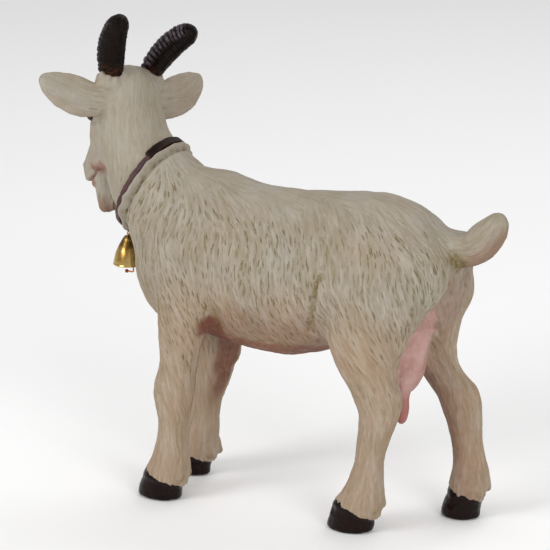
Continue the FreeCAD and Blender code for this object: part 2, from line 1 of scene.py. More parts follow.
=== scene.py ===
"""Looks of a painted cast-resin nanny goat with a leather collar and a small brass bell.

The castings of the CAD model are merged into one skin, sculpted and combed with carved hair, and
then divided again into one piece per casting. Lengths are in millimetres in the goat's own frame
until a mesh is made: +Z up, -Y towards the chest, +X the goat's left.
"""
import math

import bpy
import bmesh
import numpy as np
import openvdb
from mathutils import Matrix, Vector


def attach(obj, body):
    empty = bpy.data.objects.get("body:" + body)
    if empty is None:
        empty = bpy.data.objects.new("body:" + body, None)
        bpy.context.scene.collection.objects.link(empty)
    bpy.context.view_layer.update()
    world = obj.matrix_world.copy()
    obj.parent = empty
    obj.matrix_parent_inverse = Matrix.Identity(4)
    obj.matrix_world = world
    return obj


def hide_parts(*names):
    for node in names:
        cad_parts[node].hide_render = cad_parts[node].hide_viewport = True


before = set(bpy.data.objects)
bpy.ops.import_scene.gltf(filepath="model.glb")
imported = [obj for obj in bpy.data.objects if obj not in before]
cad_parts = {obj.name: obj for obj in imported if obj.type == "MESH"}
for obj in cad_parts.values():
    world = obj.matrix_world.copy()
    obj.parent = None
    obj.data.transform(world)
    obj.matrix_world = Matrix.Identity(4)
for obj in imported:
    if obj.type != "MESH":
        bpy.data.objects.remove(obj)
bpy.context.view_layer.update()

MM = 0.001
ROW_SHIFT = np.array([6.674, -1.108, 0.0])   # from the goat's own frame to the row frame
VOXEL = 0.42
BAND = 7                                     # half width of a level set, in voxels
FAR = BAND * VOXEL
SEED = 7411
SIDES = (1, -1)

HEAD_ORIGIN = np.array([-6.0, -45.2, 97.5])
HEAD_YAW, HEAD_PITCH, HEAD_ROLL = -30.0, 4.7, -9.0
COLLAR_CENTRE = np.array([-1.8, -34.9, 78.9])
COLLAR_AXIS = np.array([-0.187, -0.860, 0.476]) / np.linalg.norm([-0.187, -0.860, 0.476])
COLLAR_HALF_WIDTH, COLLAR_HALF_DEPTH = 11.2, 13.5
BELL_TOP = np.array([-1.94, -42.392, 64.885])


# ---- small helpers ----
def unit(v):
    v = np.asarray(v, float)
    return v / np.maximum(np.linalg.norm(v, axis=-1, keepdims=True), 1e-9)


def step(low, high, x):
    """0 below low, 1 above high and smooth in between. low may be the larger."""
    t = np.clip((x - low) / (high - low), 0.0, 1.0)
    return t * t * (3 - 2 * t)


def rotation(axis, degrees):
    a = math.radians(degrees)
    c, s = math.cos(a), math.sin(a)
    turns = {
        "x": [[1, 0, 0], [0, c, -s], [0, s, c]],
        "y": [[c, 0, s], [0, 1, 0], [-s, 0, c]],
        "z": [[c, -s, 0], [s, c, 0], [0, 0, 1]],
    }
    return np.array(turns[axis])


HEAD_TURN = rotation("z", HEAD_YAW) @ rotation("x", HEAD_PITCH) @ rotation("y", HEAD_ROLL)


def head_point(p):
    return np.asarray(p, float) @ HEAD_TURN.T + HEAD_ORIGIN


def head_direction(d):
    return np.asarray(d, float) @ HEAD_TURN.T


def to_head(p):
    return (np.asarray(p, float) - HEAD_ORIGIN) @ HEAD_TURN


def mirrored(p, side):
    return np.asarray(p, float) * (side, 1, 1)


def corner_blend(cell, share, value):
    """Blends value at the eight corners of each cell, by the shares along its sides."""
    total = np.zeros(len(cell))
    for corner in np.ndindex(2, 2, 2):
        weight = np.prod(np.where(corner, share, 1 - share), axis=1)
        total += weight * value(*(cell + corner).T)
    return total


def soft_noise(points, size, seed):
    """Smooth value noise from -1 to 1 with lumps about size across."""
    table = np.random.default_rng(SEED + seed).uniform(-1, 1, (32, 32, 32))
    q = points / size
    cell = np.floor(q).astype(int)
    t = q - cell
    return corner_blend(cell, t * t * (3 - 2 * t), lambda i, j, k: table[i % 32, j % 32, k % 32])


def segment_distance(p, a, b):
    """Distance from each point to the segment a-b, and how far along it the nearest place is."""
    a, b = np.asarray(a, float), np.asarray(b, float)
    along = b - a
    t = np.clip(((p - a) @ along) / max(along @ along, 1e-9), 0, 1)
    return np.linalg.norm(p - a - t[:, None] * along, axis=1), t


def from_segment(p, a, b):
    return segment_distance(p, a, b)[0]


def from_line(p, line):
    """Distance from each point to a line through several places."""
    return np.minimum.reduce([from_segment(p, a, b) for a, b in zip(line, line[1:])])


def path_points(rows, count):
    """Evenly parametrised Catmull-Rom curve through rows of numbers."""
    rows = np.asarray(rows, float)
    padded = np.vstack([2 * rows[0] - rows[1], rows, 2 * rows[-1] - rows[-2]])
    made = []
    for s in np.linspace(0, len(rows) - 1, count):
        i = min(int(s), len(rows) - 2)
        t = s - i
        p0, p1, p2, p3 = padded[i:i + 4]
        made.append(0.5 * (2 * p1 + (p2 - p0) * t + (2 * p0 - 5 * p1 + 4 * p2 - p3) * t * t
                           + (3 * p1 - p0 - 3 * p2 + p3) * t ** 3))
    return np.array(made)


def make_mesh(name, points, faces, normals=None):
    """Blender object from goat-frame points in millimetres."""
    mesh = bpy.data.meshes.new(name)
    points = (np.asarray(points) + ROW_SHIFT) * MM
    mesh.from_pydata(points.tolist(), [], [list(face) for face in faces])
    mesh.polygons.foreach_set("use_smooth", np.ones(len(mesh.polygons), bool))
    mesh.update()
    obj = bpy.data.objects.new(name, mesh)
    bpy.context.scene.collection.objects.link(obj)
    if normals is not None:
        mesh.normals_split_custom_set_from_vertices(np.asarray(normals).tolist())
    return obj


def add_value(mesh, name, values):
    attribute = mesh.attributes.new(name, "FLOAT", "POINT")
    attribute.data.foreach_set("value", np.asarray(values, np.float32))


def mesh_points(mesh):
    made = np.empty(len(mesh.vertices) * 3, np.float32)
    mesh.vertices.foreach_get("co", made)
    return made.reshape(-1, 3)


def goat_points(mesh):
    return mesh_points(mesh).astype(float) / MM - ROW_SHIFT


def ring_faces(rows, turns, closed=False):
    """Quads between rings of points, one ring a row. Closed joins the last ring to the first."""
    faces = []
    for k in range(rows if closed else rows - 1):
        here, there = k * turns, (k + 1) % rows * turns
        for m in range(turns):
            n = (m + 1) % turns
            faces.append([here + m, here + n, there + n, there + m])
    return faces


def turn_over(faces):
    return [[a, d, c, b] for a, b, c, d in faces]


def face_outwards(piece, merge=0.0):
    """Turns a closed piece's faces outwards, after merging points that lie together."""
    shell = bmesh.new()
    shell.from_mesh(piece.data)
    if merge:
        bmesh.ops.remove_doubles(shell, verts=shell.verts, dist=merge)
    bmesh.ops.recalc_face_normals(shell, faces=shell.faces)
    shell.to_mesh(piece.data)
    shell.free()


def stand_for(piece, body, node):
    """Makes a piece ride on a body in place of a CAD node."""
    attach(piece, body)
    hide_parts(node)


# ---- one skin from all the castings ----
# Each hoof's middle and half length, the height of its paint in front and behind, and the y and z
# of its dewclaws' roots.
HOOVES = {
    "hoof_front_left": (10.4, -27.9, 6.1, 8.8, 4.7, -21.4, 9.4),
    "hoof_front_right": (-8.5, -29.1, 6.2, 10.4, 4.2, -21.9, 9.0),
    "hoof_hind_left": (9.7, 25.2, 6.2, 8.9, 4.6, 32.0, 9.6),
    "hoof_hind_right": (-10.0, 47.0, 5.2, 9.4, 5.2, 52.8, 10.2),
}
LEGS = ["leg_front_left", "leg_front_right", "leg_hind_left", "leg_hind_right"]
EAR_NAMES = ["ear_left", "ear_right"]
CASTINGS = ["torso", "head", "beard", "tail", "udder", *EAR_NAMES, *LEGS, *HOOVES]
FINE = ["beard", *EAR_NAMES, *HOOVES]        # castings that are softened less
FINE_BLUR, SOFT_BLUR = 0.42, 1.05
body_low = np.array([-31.0, -62.0, -3.0])
body_high = np.array([18.0, 64.5, 127.0])
grid_low = np.floor((body_low + ROW_SHIFT) / VOXEL).astype(int)
grid_shape = np.ceil((body_high - body_low) / VOXEL).astype(int)
transform = openvdb.createLinearTransform(VOXEL)


def distance_field(name):
    """Signed distance to a casting, on the whole grid."""
    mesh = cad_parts[name].data
    mesh.calc_loop_triangles()
    corners = np.empty(len(mesh.loop_triangles) * 3, np.int32)
    mesh.loop_triangles.foreach_get("vertices", corners)
    grid = openvdb.FloatGrid.createLevelSetFromPolygons(
        mesh_points(mesh) * 1000, triangles=corners.reshape(-1, 3).astype(np.uint32),
        transform=transform, halfWidth=BAND)
    field = np.empty(tuple(grid_shape), np.float32)
    grid.copyToArray(field, ijk=tuple(int(v) for v in grid_low))
    return field


def blurred(field, sigma):
    """Gaussian blur by sigma millimetres."""
    reach = int(math.ceil(2.5 * sigma / VOXEL))
    offsets = np.arange(-reach, reach + 1)
    weights = np.exp(-0.5 * (offsets * VOXEL / sigma) ** 2)
    weights /= weights.sum()
    for axis in range(3):
        pad = [(0, 0)] * 3
        pad[axis] = (reach, reach)
        wide = np.pad(field, pad, mode="edge")
        length = field.shape[axis]
        result = np.zeros_like(field)
        for k, w in enumerate(weights):
            cut = [slice(None)] * 3
            cut[axis] = slice(k, k + length)
            result += np.float32(w) * wide[tuple(cut)]
        field = result
    return field


def window(points, margin):
    """Slices of the grid round some goat-frame points, and the goat-frame places of its voxels."""
    points = np.asarray(points, float) + ROW_SHIFT
    low = np.floor((points.min(0) - margin) / VOXEL).astype(int) - grid_low
    high = np.ceil((points.max(0) + margin) / VOXEL).astype(int) - grid_low + 1
    low, high = np.clip(low, 0, grid_shape), np.clip(high, 0, grid_shape)
    cut = tuple(slice(a, b) for a, b in zip(low, high))
    axes = [(np.arange(a, b) + g) * VOXEL - s for a, b, g, s in zip(low, high, grid_low, ROW_SHIFT)]
    places = np.stack(np.meshgrid(*axes, indexing="ij"), -1)
    return cut, places


def join(field, cut, shape, blend):
    """Adds a shape to part of a distance field, with a fillet about blend wide."""
    old = field[cut]
    h = np.maximum(blend - np.abs(old - shape), 0.0)
    field[cut] = np.minimum(old, shape) - h * h / (4 * blend)


def add_capsule(field, a, b, ra, rb, blend):
    """Adds a rounded cone between two points and blends it into the skin."""
    cut, places = window([a, b], max(ra, rb) + blend + 1.0)
    distance, t = segment_distance(places.reshape(-1, 3), a, b)
    join(field, cut, (distance - (ra + (rb - ra) * t)).reshape(places.shape[:3]), blend)


def add_blade(field, rows, side, blend):
    """Adds an ear: x, y, z, half breadth and half thickness along its mid-line, in the head frame."""
    rows = [(x * side, y, z, b, t) for x, y, z, b, t in rows]
    cut, places = window([head_point(row[:3]) for row in rows], 7.0)
    q = to_head(places.reshape(-1, 3))
    shape = np.full(len(q), FAR)
    for one, two in zip(rows, rows[1:]):
        a, b = np.array(one[:3]), np.array(two[:3])
        along = unit(b - a)
        thin = unit(np.array([0.0, 1.0, 0.0]) - along * along[1])
        broad = np.cross(along, thin)
        share = np.clip((q - a) @ along / np.linalg.norm(b - a), 0, 1)
        away = q - (a + (b - a) * share[:, None])
        breadth = one[3] + (two[3] - one[3]) * share
        thick = one[4] + (two[4] - one[4]) * share
        beyond = (away @ along) / thick
        reach = np.sqrt((away @ broad / breadth) ** 2 + (away @ thin / thick) ** 2 + beyond ** 2)
        shape = np.minimum(shape, (reach - 1) * thick)
    join(field, cut, shape.reshape(places.shape[:3]), blend)


def cut_cleft(field, x, y, half):
    """The split between two toes, open in front and below and closing towards the heel."""
    cut, places = window([(x, y - half, 0), (x, y + half, 6)], 1.5)
    back = y + half * 0.35
    share = np.clip((back - places[..., 1]) / (2 * half), 0, 1)
    wall = 0.16 + 0.75 * share ** 1.3
    wall = wall * step(7.2, 4.6, places[..., 2]) * step(0.0, 0.12, share)
    shape = wall - np.abs(places[..., 0] - x)
    field[cut] = np.maximum(field[cut], np.where(wall > 0.05, shape, -FAR))


fields = {name: distance_field(name) for name in CASTINGS}
union = np.full(tuple(grid_shape), FAR, np.float32)
for name in CASTINGS:
    union = np.minimum(union, fields[name])

# The ears are broader than their castings' plain blades.
EARS = {
    1: [(6.6, 3, 1.5, 3, 1.5), (10, 2.4, 1.7, 3.8, 1.4), (14, 1.4, 1.9, 5, 1.3),
        (18.5, 0, 3.5, 4.8, 1.1), (22, -1.2, 5.4, 2.8, 0.9), (23.2, -1.6, 6.2, 1.1, 0.8)],
    -1: [(6.6, 3, 0.7, 3.6, 1.5), (10, 2.4, 1.2, 4.4, 1.4), (14, 1.4, 2.7, 5.4, 1.3),
         (18.5, 0.2, 4.6, 5, 1.1), (21.6, -1, 6.9, 3.3, 0.9), (23, -1.5, 8.5, 1.5, 0.8)],
}
for side, rows in EARS.items():
    add_blade(union, rows, side, 1)
# The tail is fuller along the top, and the right buttock behind.
add_capsule(union, (0, 53.2, 75.6), (0, 58.2, 81), 1.8, 1.8, 2.6)
add_capsule(union, (-6.4, 45.2, 71), (-8, 45.6, 60), 4.2, 3.6, 3)

# Sockets under the horns are filled, because the horns are pieces of their own.
for side in SIDES:
    add_capsule(union, head_point((6.0 * side, 2.4, 5.0)), head_point((6.4 * side, 3.0, 8.2)),
                2.2, 2.4, 0.6)

union_fine = blurred(union, FINE_BLUR)
union_soft = blurred(union, SOFT_BLUR)
near_fine = np.full(tuple(grid_shape), FAR, np.float32)
for name in FINE:
    near_fine = np.minimum(near_fine, fields[name])
cut, places = window([(0, 30, 26), (0, 38, 40)], 6.0)
near_fine[cut] = np.minimum(near_fine[cut], np.where(
    (places[..., 2] < 40) & (np.abs(places[..., 0]) < 5.5), fields["udder"][cut], FAR))
fine_share = step(2.6, 0.6, near_fine)
skin_field = union_soft * (1 - fine_share) + union_fine * fine_share
del union_fine, union_soft, near_fine

# Locks of hair standing round the foot of each horn.
for side in SIDES:
    for turn in range(0, 360, 36):
        a = math.radians(turn + 11 * side)
        out = np.array([math.cos(a), math.sin(a), 0.0])
        foot = np.array([6.0 * side, 2.3, 5.6]) + out * 3.0
        tip = np.array([6.3 * side, 2.8, 7.2 + 0.7 * side + 0.6 * math.sin(3 * a + side)]) + out * 3.2
        add_capsule(skin_field, head_point(foot), head_point(tip),
                    1.0 + 0.25 * side, 0.45 + 0.15 * side, 0.9)
# Dewclaws, two behind each pastern.
DEWCLAWS = []
for x, _, _, _, _, root_y, root_z in HOOVES.values():
    for side in SIDES:
        top = np.array([x + 2.0 * side, root_y, root_z])
        low = top + np.array([0.3 * side, 0.6, -2.6])
        DEWCLAWS.append((top, low))
        add_capsule(skin_field, top, low, 1.1, 1.0, 0.6)
# Fuller forms that stand out of the castings' plain shapes: start, end, radii, blend. Goat frame.
SWELLS = [
    ((-7, -23.6, 45.5), (-7.4, -24.2, 31), 3.5, 2.8, 1.2),    # inner side of the right foreleg
    ((10.2, -25.9, 31), (10.2, -26.4, 28.4), 2.5, 2.3, 1.2),  # left knee
    ((-8.6, -23.8, 31), (-8.6, -24.2, 28.4), 2.5, 2.3, 1.2),  # right knee
    ((-9, -14.1, 44), (-8.8, -16.1, 34), 1.6, 1.5, 1.8),      # back of the right forearm
    ((0.5, 42.5, 57), (-1, 38.5, 50), 2.8, 2.5, 2.5),         # between the thighs, above the udder
    ((-1, 45, 58.5), (-6.8, 41.5, 44), 3, 1, 2.5),
    ((2.7, 35.5, 38), (2.9, 35.9, 29.2), 2.3, 1.35, 1),       # left teat
]
for a, b, ra, rb, blend in SWELLS:
    add_capsule(skin_field, a, b, ra, rb, blend)
# The same in the head frame.
HEAD_SWELLS = [
    ((-0.8, -3.4, -18), (-1, -3.2, -25.4), 2.7, 1.7, 0.8),  # the beard is fuller behind
    ((1.4, -5, -18), (0.8, -4.8, -26), 2.3, 1.5, 0.8),
    ((4.6, 1, -13.2), (3.5, -5.8, -15.4), 1.9, 1.7, 1.5),   # the muzzle widens evenly
    ((-4.6, 1, -13.2), (-3.5, -5.8, -15.4), 1.9, 1.7, 1.5),
]
for a, b, ra, rb, blend in HEAD_SWELLS:
    add_capsule(skin_field, head_point(a), head_point(b), ra, rb, blend)
for x, y, half, *_ in HOOVES.values():
    cut_cleft(skin_field, x, y, half)

grid = openvdb.FloatGrid(FAR)
grid.copyFromArray(skin_field, ijk=tuple(int(v) for v in grid_low), tolerance=0.0)
grid.transform = transform
points, quads = grid.convertToQuads(isovalue=0.0)
coarse = make_mesh("coarse", points - ROW_SHIFT, quads)
bpy.context.view_layer.update()
divide = coarse.modifiers.new("divide", "SUBSURF")
divide.levels = 1
divide.render_levels = 1
smooth_mesh = bpy.data.meshes.new_from_object(
    coarse.evaluated_get(bpy.context.evaluated_depsgraph_get()))
bpy.data.objects.remove(coarse)

P = goat_points(smooth_mesh)
QUADS = np.empty(len(smooth_mesh.loops), np.int32)
smooth_mesh.loops.foreach_get("vertex_index", QUADS)
QUADS = QUADS.reshape(-1, 4)


def point_normals(p):
    """Unit normals of the quad mesh with its points at p, outwards."""
    a, b, c, d = [p[QUADS[:, k]] for k in range(4)]
    face = np.cross(c - a, d - b)
    made = np.zeros_like(p)
    for k in range(4):
        for axis in range(3):
            made[:, axis] += np.bincount(QUADS[:, k], face[:, axis], len(p))
    return unit(made)


def sample(field, p):
    """Trilinear value of a grid field at goat-frame points."""
    q = (p + ROW_SHIFT) / VOXEL - grid_low
    cell = np.clip(np.floor(q).astype(int), 0, grid_shape - 2)
    return corner_blend(cell, np.clip(q - cell, 0, 1), lambda i, j, k: field[i, j, k])


N = point_normals(P)
if sample(skin_field, P + N * 0.3).mean() < 0:      # the mesher's faces look inwards
    QUADS = QUADS[:, ::-1].copy()
    N = -N

# Which casting each point belongs to.
nearest = np.full(len(P), 1e9)
owner = np.zeros(len(P), int)
for k, name in enumerate(CASTINGS):
    d = sample(fields[name], P)
    closer = d < nearest - 1e-6
    owner[closer] = k
    nearest[closer] = d[closer]
index_of = {name: k for k, name in enumerate(CASTINGS)}
del fields
H = to_head(P)
X, Y, Z = P.T
HX, HY, HZ = H.T


def is_part(*names):
    return np.isin(owner, [index_of[n] for n in names])


on_head = is_part("head", "beard", *EAR_NAMES)
on_torso = is_part("torso")
on_legs = is_part(*LEGS)

# Ragged edge between coat and hoof: the hair hangs over the coronet in points.
for name, (x, y, half, toe, heel, *_) in HOOVES.items():
    leg = name.replace("hoof", "leg")
    near = (np.abs(X - x) < 8) & (np.abs(Y - y) < 11) & (Z < 12) & is_part(name, leg)
    slope = (toe - heel) / (2 * half)
    height = Z - ((toe + heel) / 2 - slope * (Y - y))
    around = np.arctan2(Y - y, X - x)
    ring = np.stack([np.cos(around) * 4, np.sin(around) * 4, np.full(len(P), x)], 1)
    edge = 0.1 + 0.55 * soft_noise(ring, 0.75, 31) + 0.5 * soft_noise(ring, 1.9, 32)
    owner[near & (height < edge)] = index_of[name]
    owner[near & (height >= edge)] = index_of[leg]
on_hooves = is_part(*HOOVES)
owner[is_part("udder") & (X < -1.0) & (Y > 40) & (Z > 40)] = index_of["leg_hind_right"]

# ---- sculpting ----
# Swellings and hollows: start, end, radius, height (negative cuts in). Goat frame.
FORMS = [
    ((11.5, -12.5, 57), (9.5, -11.5, 46.5), 1.6, -0.75),   # fold behind the left elbow
    ((-10.5, -10.5, 57), (-9, -9.8, 46.5), 1.6, -0.7),
    ((13, -24, 66), (10.5, -18, 52), 4.5, 0.55),           # left upper arm
    ((-12, -22, 66), (-9.5, -16, 52), 4.5, 0.55),
    ((12.5, -12, 74), (12.8, -13, 62), 2.2, -0.35),        # behind the shoulder blade
    ((-12.5, -10, 74), (-12.8, -11, 62), 2.2, -0.35),
    ((14.1, 18.5, 67), (13.4, 16.6, 59.5), 0.9, -0.55),    # flank fold
    ((13.4, 16.6, 59.5), (11.2, 14.7, 50.5), 1, -0.75),
    ((1.5, -6, 41.5), (0.5, 7, 41), 6, 0.5),               # belly
    ((-1.5, -11.5, 84), (0.3, 3.5, 82), 4.5, 0.85),        # back
    ((14.4, -22.9, 48), (13.6, -24.6, 53), 1, -0.35),      # crease of the upper arm
    ((0, -41.2, 70), (0, -41.8, 64), 4, -0.5),             # throat
    ((-13.8, 22, 62), (-12, 20, 49.5), 1.5, -0.8),
    ((13.5, 23.5, 62), (12, 22.5, 49), 2.2, 0.45),         # edge of the thigh in front
    ((-13.5, 27, 62), (-12, 25, 50), 2.2, 0.45),
    ((9, 39.5, 70), (8.5, 41, 58), 3, -0.3),               # hollow of the rump
    ((-9, 41.5, 70), (-8.5, 43, 58), 3, -0.3),
    ((0, 43, 78.5), (0, 49, 76), 3.6, -0.75),              # croup, down to the tail
    ((8.4, 46.2, 66.5), (9.6, 44.6, 61), 1.6, 0.35),       # left buttock
    ((4, 48.8, 67.5), (4.6, 46, 60), 1.4, -1.1),           # cleft beside it
    ((2.5, 47.5, 61), (4.6, 44.5, 57), 2.6, -1.6),
    ((-7.3, 40.9, 31.7), (-6.5, 38.5, 36), 2.2, -0.5),     # inner side of the right hock
    ((5, 15.5, 44), (3.5, 10, 42.5), 3.6, -0.9),           # belly by the flank
    ((4.5, -40.6, 73.5), (6, -40, 69.5), 3, -0.8),         # side of the throat
    ((-9.5, 38, 77), (-9.5, 44.5, 74.5), 3.4, -1),         # right side of the rump
    ((12.6, 24.2, 11), (12, 25.2, 15), 2.2, 0.4),          # left hind pastern
    ((13.5, -30.2, 9), (12, -29.5, 13), 2.2, 0.4),         # left fore pastern
    ((-9.3, 53.6, 11.5), (-9.3, 53.6, 20), 2.4, 0.35),     # back of the right hind cannon
    ((4.5, 28, 83), (5, 40, 77), 2.4, 0.35),               # hip
    ((-4.5, 28, 83), (-5, 40, 77), 2.4, 0.35),
    ((14.2, -24.5, 32.4), (12.6, -27.8, 32), 0.7, -0.25),  # creases of the left knee
    ((14.4, -24, 29), (13, -27.8, 28.2), 0.7, -0.22),
    ((9.5, 37.6, 36.5), (9.5, 37.2, 34), 2.2, 0.45),       # hocks
    ((-10, 49.8, 33.5), (-10, 50.4, 31), 2.2, 0.3),
]
lift = np.zeros(len(P))
for a, b, radius, height in FORMS:
    lift += height * np.exp(-(from_segment(P, a, b) / radius) ** 2)

# The same in the head frame, and every one of them on both sides of the face.
HEAD_FORMS = [
    ((7.6, -4.6, 0.6), (7.4, -1, 0.8), 1.2, 0.75),            # brow over the eye
    ((7.6, -5.6, -4.6), (7.4, -1.6, -5), 1, 0.35),            # lower lid
    ((5.4, -7, -4), (4.6, -10, -9), 1.6, -0.45),              # hollow below the eye
    ((6.2, -1, -9), (4.4, -5.4, -14.5), 2.6, 0.5),            # cheek
    ((7, -5.8, -5.2), (6.2, -7, -8.2), 1.8, 0.6),             # cheek bone
    ((1.6, -14.4, -18.2), (2.4, -12, -20), 2, 0.35),          # nose, fuller below
    ((1.7, -13.9, -17.4), (2.9, -12.9, -17.4), 0.62, -0.95),  # nostril
    ((1.6, -13.2, -16), (3.2, -12, -16.2), 0.9, 0.3),         # wing of the nose
    ((0, -14.2, -17.2), (0, -13.4, -19.8), 0.4, -0.3),        # groove of the upper lip
    ((4.6, -7.4, -17), (3.4, -5, -16.8), 1.3, -0.6),          # corner of the mouth
    ((4, -6.6, -15.2), (3.2, -3.6, -15), 1.2, 0.45),          # cheek above it
    ((3.4, -8.6, -18.4), (2.6, -6.2, -21), 0.8, -0.7),        # crease between lip and beard
]
for a, b, radius, height in HEAD_FORMS:
    for side in SIDES:
        distance = from_segment(H, mirrored(a, side), mirrored(b, side))
        lift += height * np.exp(-(distance / radius) ** 2) * on_head

# The mouth is a line seen from the side, so only its y and z count.
MOUTH_LINE = [(0, -13.9, -20.2), (0, -11.5, -20.8), (0, -9.3, -20.3), (0, -7.2, -19), (0, -5.2, -17.3)]
lips = np.where(on_head & (np.abs(HX) < 6.5), from_line(H * (0, 1, 1), MOUTH_LINE), 1e9)
lift += -0.6 * np.exp(-(lips / 0.42) ** 2) + 0.22 * np.exp(-((lips - 1.0) / 0.55) ** 2)

# Lids stand round each eye in the shape of an almond.
eye_round = np.hypot((HY + 3.4) / 2.0, (HZ + 2.6 + 0.10 * (HY + 3.4)) / 1.2)
by_eye = on_head & (np.abs(HX) > 5.5)
lift += by_eye * (0.55 * np.exp(-((eye_round - 1.12) / 0.24) ** 2)
                  - 0.3 * np.exp(-((eye_round - 1.75) / 0.28) ** 2))

# Ears are hollowed on the side that faces forwards.
EAR_LINE = {
    "ear_left": [
        (6.6, 3, 1.4), (10, 2.4, 1.6), (14, 1.4, 2.2), (18.5, 0, 3.9), (24, -1.8, 6.4)],
    "ear_right": [
        (-6.6, 3, 1.6), (-10, 2.4, 2.2), (-14, 1.4, 3.4), (-18.5, 0.2, 4.9), (-23.5, -1.6, 7.8)],
}
forwards = step(0.3, 0.8, -(N @ HEAD_TURN)[:, 1])
ear_cup = np.zeros(len(P))
ear_rim = np.zeros(len(P))
for name, line in EAR_LINE.items():
    distance = from_line(H, path_points(line, 25))
    mine = is_part(name) | (is_part("head") & (np.abs(HX) > 8.2) & (distance < 5))
    cup = mine * forwards * step(4.2, 1.6, distance) * step(8.5, 11.5, np.abs(HX))
    ear_cup = np.maximum(ear_cup, cup)
    ear_rim = np.maximum(ear_rim, is_part(name) * step(2.0, 4.2, distance))
lift -= 1.15 * ear_cup

# Behind the collar the coat stands up in a roll, with a groove of short tufts behind that.
behind = (P - COLLAR_CENTRE) @ COLLAR_AXIS
radial = np.linalg.norm(P - COLLAR_CENTRE - behind[:, None] * COLLAR_AXIS, axis=1)
on_neck = (on_torso | is_part("head")) & (radial < 20) & (Z > 55)
uneven = 1 + 0.35 * soft_noise(P, 1.6, 18)
roll = on_neck * np.exp(-((behind + 0.85) / 0.5) ** 2) * uneven
roll_groove = on_neck * np.exp(-((behind + 1.95 + 0.25 * soft_noise(P, 1.2, 19)) / 0.5) ** 2)
lift += 1.25 * roll - 0.7 * roll_groove

# A slow, hand-modelled unevenness.
calm = 1 - 0.75 * on_hooves
lift += on_hooves * (0.14 * soft_noise(P, 1.9, 27) + 0.10 * soft_noise(P * (0.5, 0.5, 1.6), 1.6, 28))
lift += calm * (0.08 + 0.16 * soft_noise(P, 6.0, 1) + 0.10 * soft_noise(P, 2.6, 2))
lift -= 0.22 * on_hooves
P = P + N * lift[:, None]
N = point_normals(P)
X, Y, Z = P.T
NX, NY, NZ = N.T

# ---- carved hair ----
# How the coat lies: a place and the direction there. The trunk's rows and the head's, which are in
# the head frame, are used on both sides.
TRUNK_LIE = [
    (9, -33, 84, 0, -0.45, -1), (10.5, -32, 76, 0, -0.40, -1),
    (8, -36, 68, 0, -0.15, -1), (3, -39, 62, 0, 0.1, -1),
    (8, -22, 86, 0, 0.45, -1), (12, -21, 72, 0, -0.12, -1),
    (12, -24, 62, 0, 0.45, -1), (10, -22, 50, 0, 0.60, -1),
    (9, -12, 82, 0, 0.55, -1), (13, -10, 66, 0, 0.02, -1),
    (12, -8, 52, 0, 0.22, -1), (10, 3, 80, 0, 0.50, -1),
    (14, 4, 64, 0, 0.05, -1), (13, 4, 50, 0, 0.30, -1),
    (10, 16, 80, 0, 0.40, -1), (14, 16, 65, 0, 0.10, -1),
    (12.5, 16, 51, 0, 0.45, -1), (9, 29, 81, 0, 0.55, -1),
    (13, 28, 68, 0, 0.12, -1), (13.5, 27, 56, 0, 0.55, -1),
    (12, 23.5, 50, 0, 0.95, -1), (12, 36, 66, 0, 0.25, -1),
    (12, 38, 56, 0, 0.35, -1), (8, 41, 77, 0, 0.9, -1),
    (6, 47, 68, 0, 0.15, -1), (10.5, 31, 47, 0, 0.65, -1),
    (0, -26, 92, 0.1, 0.8, -0.8), (0.5, -12, 88, 0.35, 1, -0.1),
    (0.5, 5, 83, 0.35, 1, 0), (0.5, 25, 84, 0.35, 1, -0.05),
    (0.5, 40, 80, 0.25, 1, -0.6), (3, 0, 42, 0, 1, 0),
]
PLAIN_LIE = [
    (10.2, -26, 30, 0, 0.35, -1), (10.2, -26, 18, 0, 0.15, -1),
    (10.4, -28, 9, 0, -0.2, -1), (10.4, -21, 9, 0, 0.1, -1),
    (-8.6, -21, 40, 0, 0.1, -1), (-8.6, -22, 25, 0, 0.05, -1),
    (-8.5, -26, 10, 0, -0.1, -1), (9.5, 30, 38, 0, 0.45, -1),
    (9.5, 31, 25, 0, -0.1, -1), (9.6, 27, 11, 0, -0.4, -1),
    (9.6, 33, 10, 0, 0.1, -1), (-9.8, 42, 52, 0, 0.1, -1),
    (-10, 41, 42, 0, 0.6, -1), (-10, 46, 30, 0, 0.25, -1),
    (-10, 48, 15, 0, 0, -1), (0, 50, 73, 0, 1, 0.1),
    (0, 55, 76, 0, 0.8, 0.75), (0, 59.5, 81, 0, 0.4, 1),
]
HEAD_LIE = [
    (0, 9.5, 3, 0, 0.1, -1), (0, 4, 12, 0, 0.9, -0.2),
    (7.5, 4, -3, -0.1, 0.1, -1), (7, 0, -10, 0, 0.1, -1),
    (4.5, -6, -15, 0, -0.3, -1), (5.5, 4.5, 6.5, 0.7, 0.3, -0.6),
    (0, -9, 2, 0, -0.4, -1), (0, -12.5, -11, 0, -0.3, -1),
    (0, -7, -23, 0, 0.2, -1), (4, 8, -8, 0, 0.3, -1),
    (0, 10, -8, 0, 0.4, -1), (7, -6.5, -6, 0, 0.2, -1),
    (10.5, 3.4, 1.8, 1, -0.1, 0.1), (16, 1.2, 2.9, 1, -0.3, 0.35),
    (22, -1, 5.6, 1, -0.3, 0.5),
]
places, lies = [], []
for rows, sides, to_place, to_way in (
        (TRUNK_LIE, SIDES, np.asarray, np.asarray), (PLAIN_LIE, (1,), np.asarray, np.asarray),
        (HEAD_LIE, SIDES, head_point, head_direction)):
    for row in rows:
        for side in sides:
            places.append(to_place(mirrored(row[:3], side)))
            lies.append(to_way(mirrored(row[3:], side)))
places, lies = np.array(places), unit(lies)


def lie_of_coat(p, n):
    """Direction of the hair at points with normals n."""
    total = np.zeros_like(p)
    for place, lie in zip(places, lies):
        gap = ((p - place) ** 2).sum(1) + 0.5
        total += lie / (gap ** 2)[:, None]
    total = unit(total)
    return unit(total - n * (total * n).sum(1)[:, None])


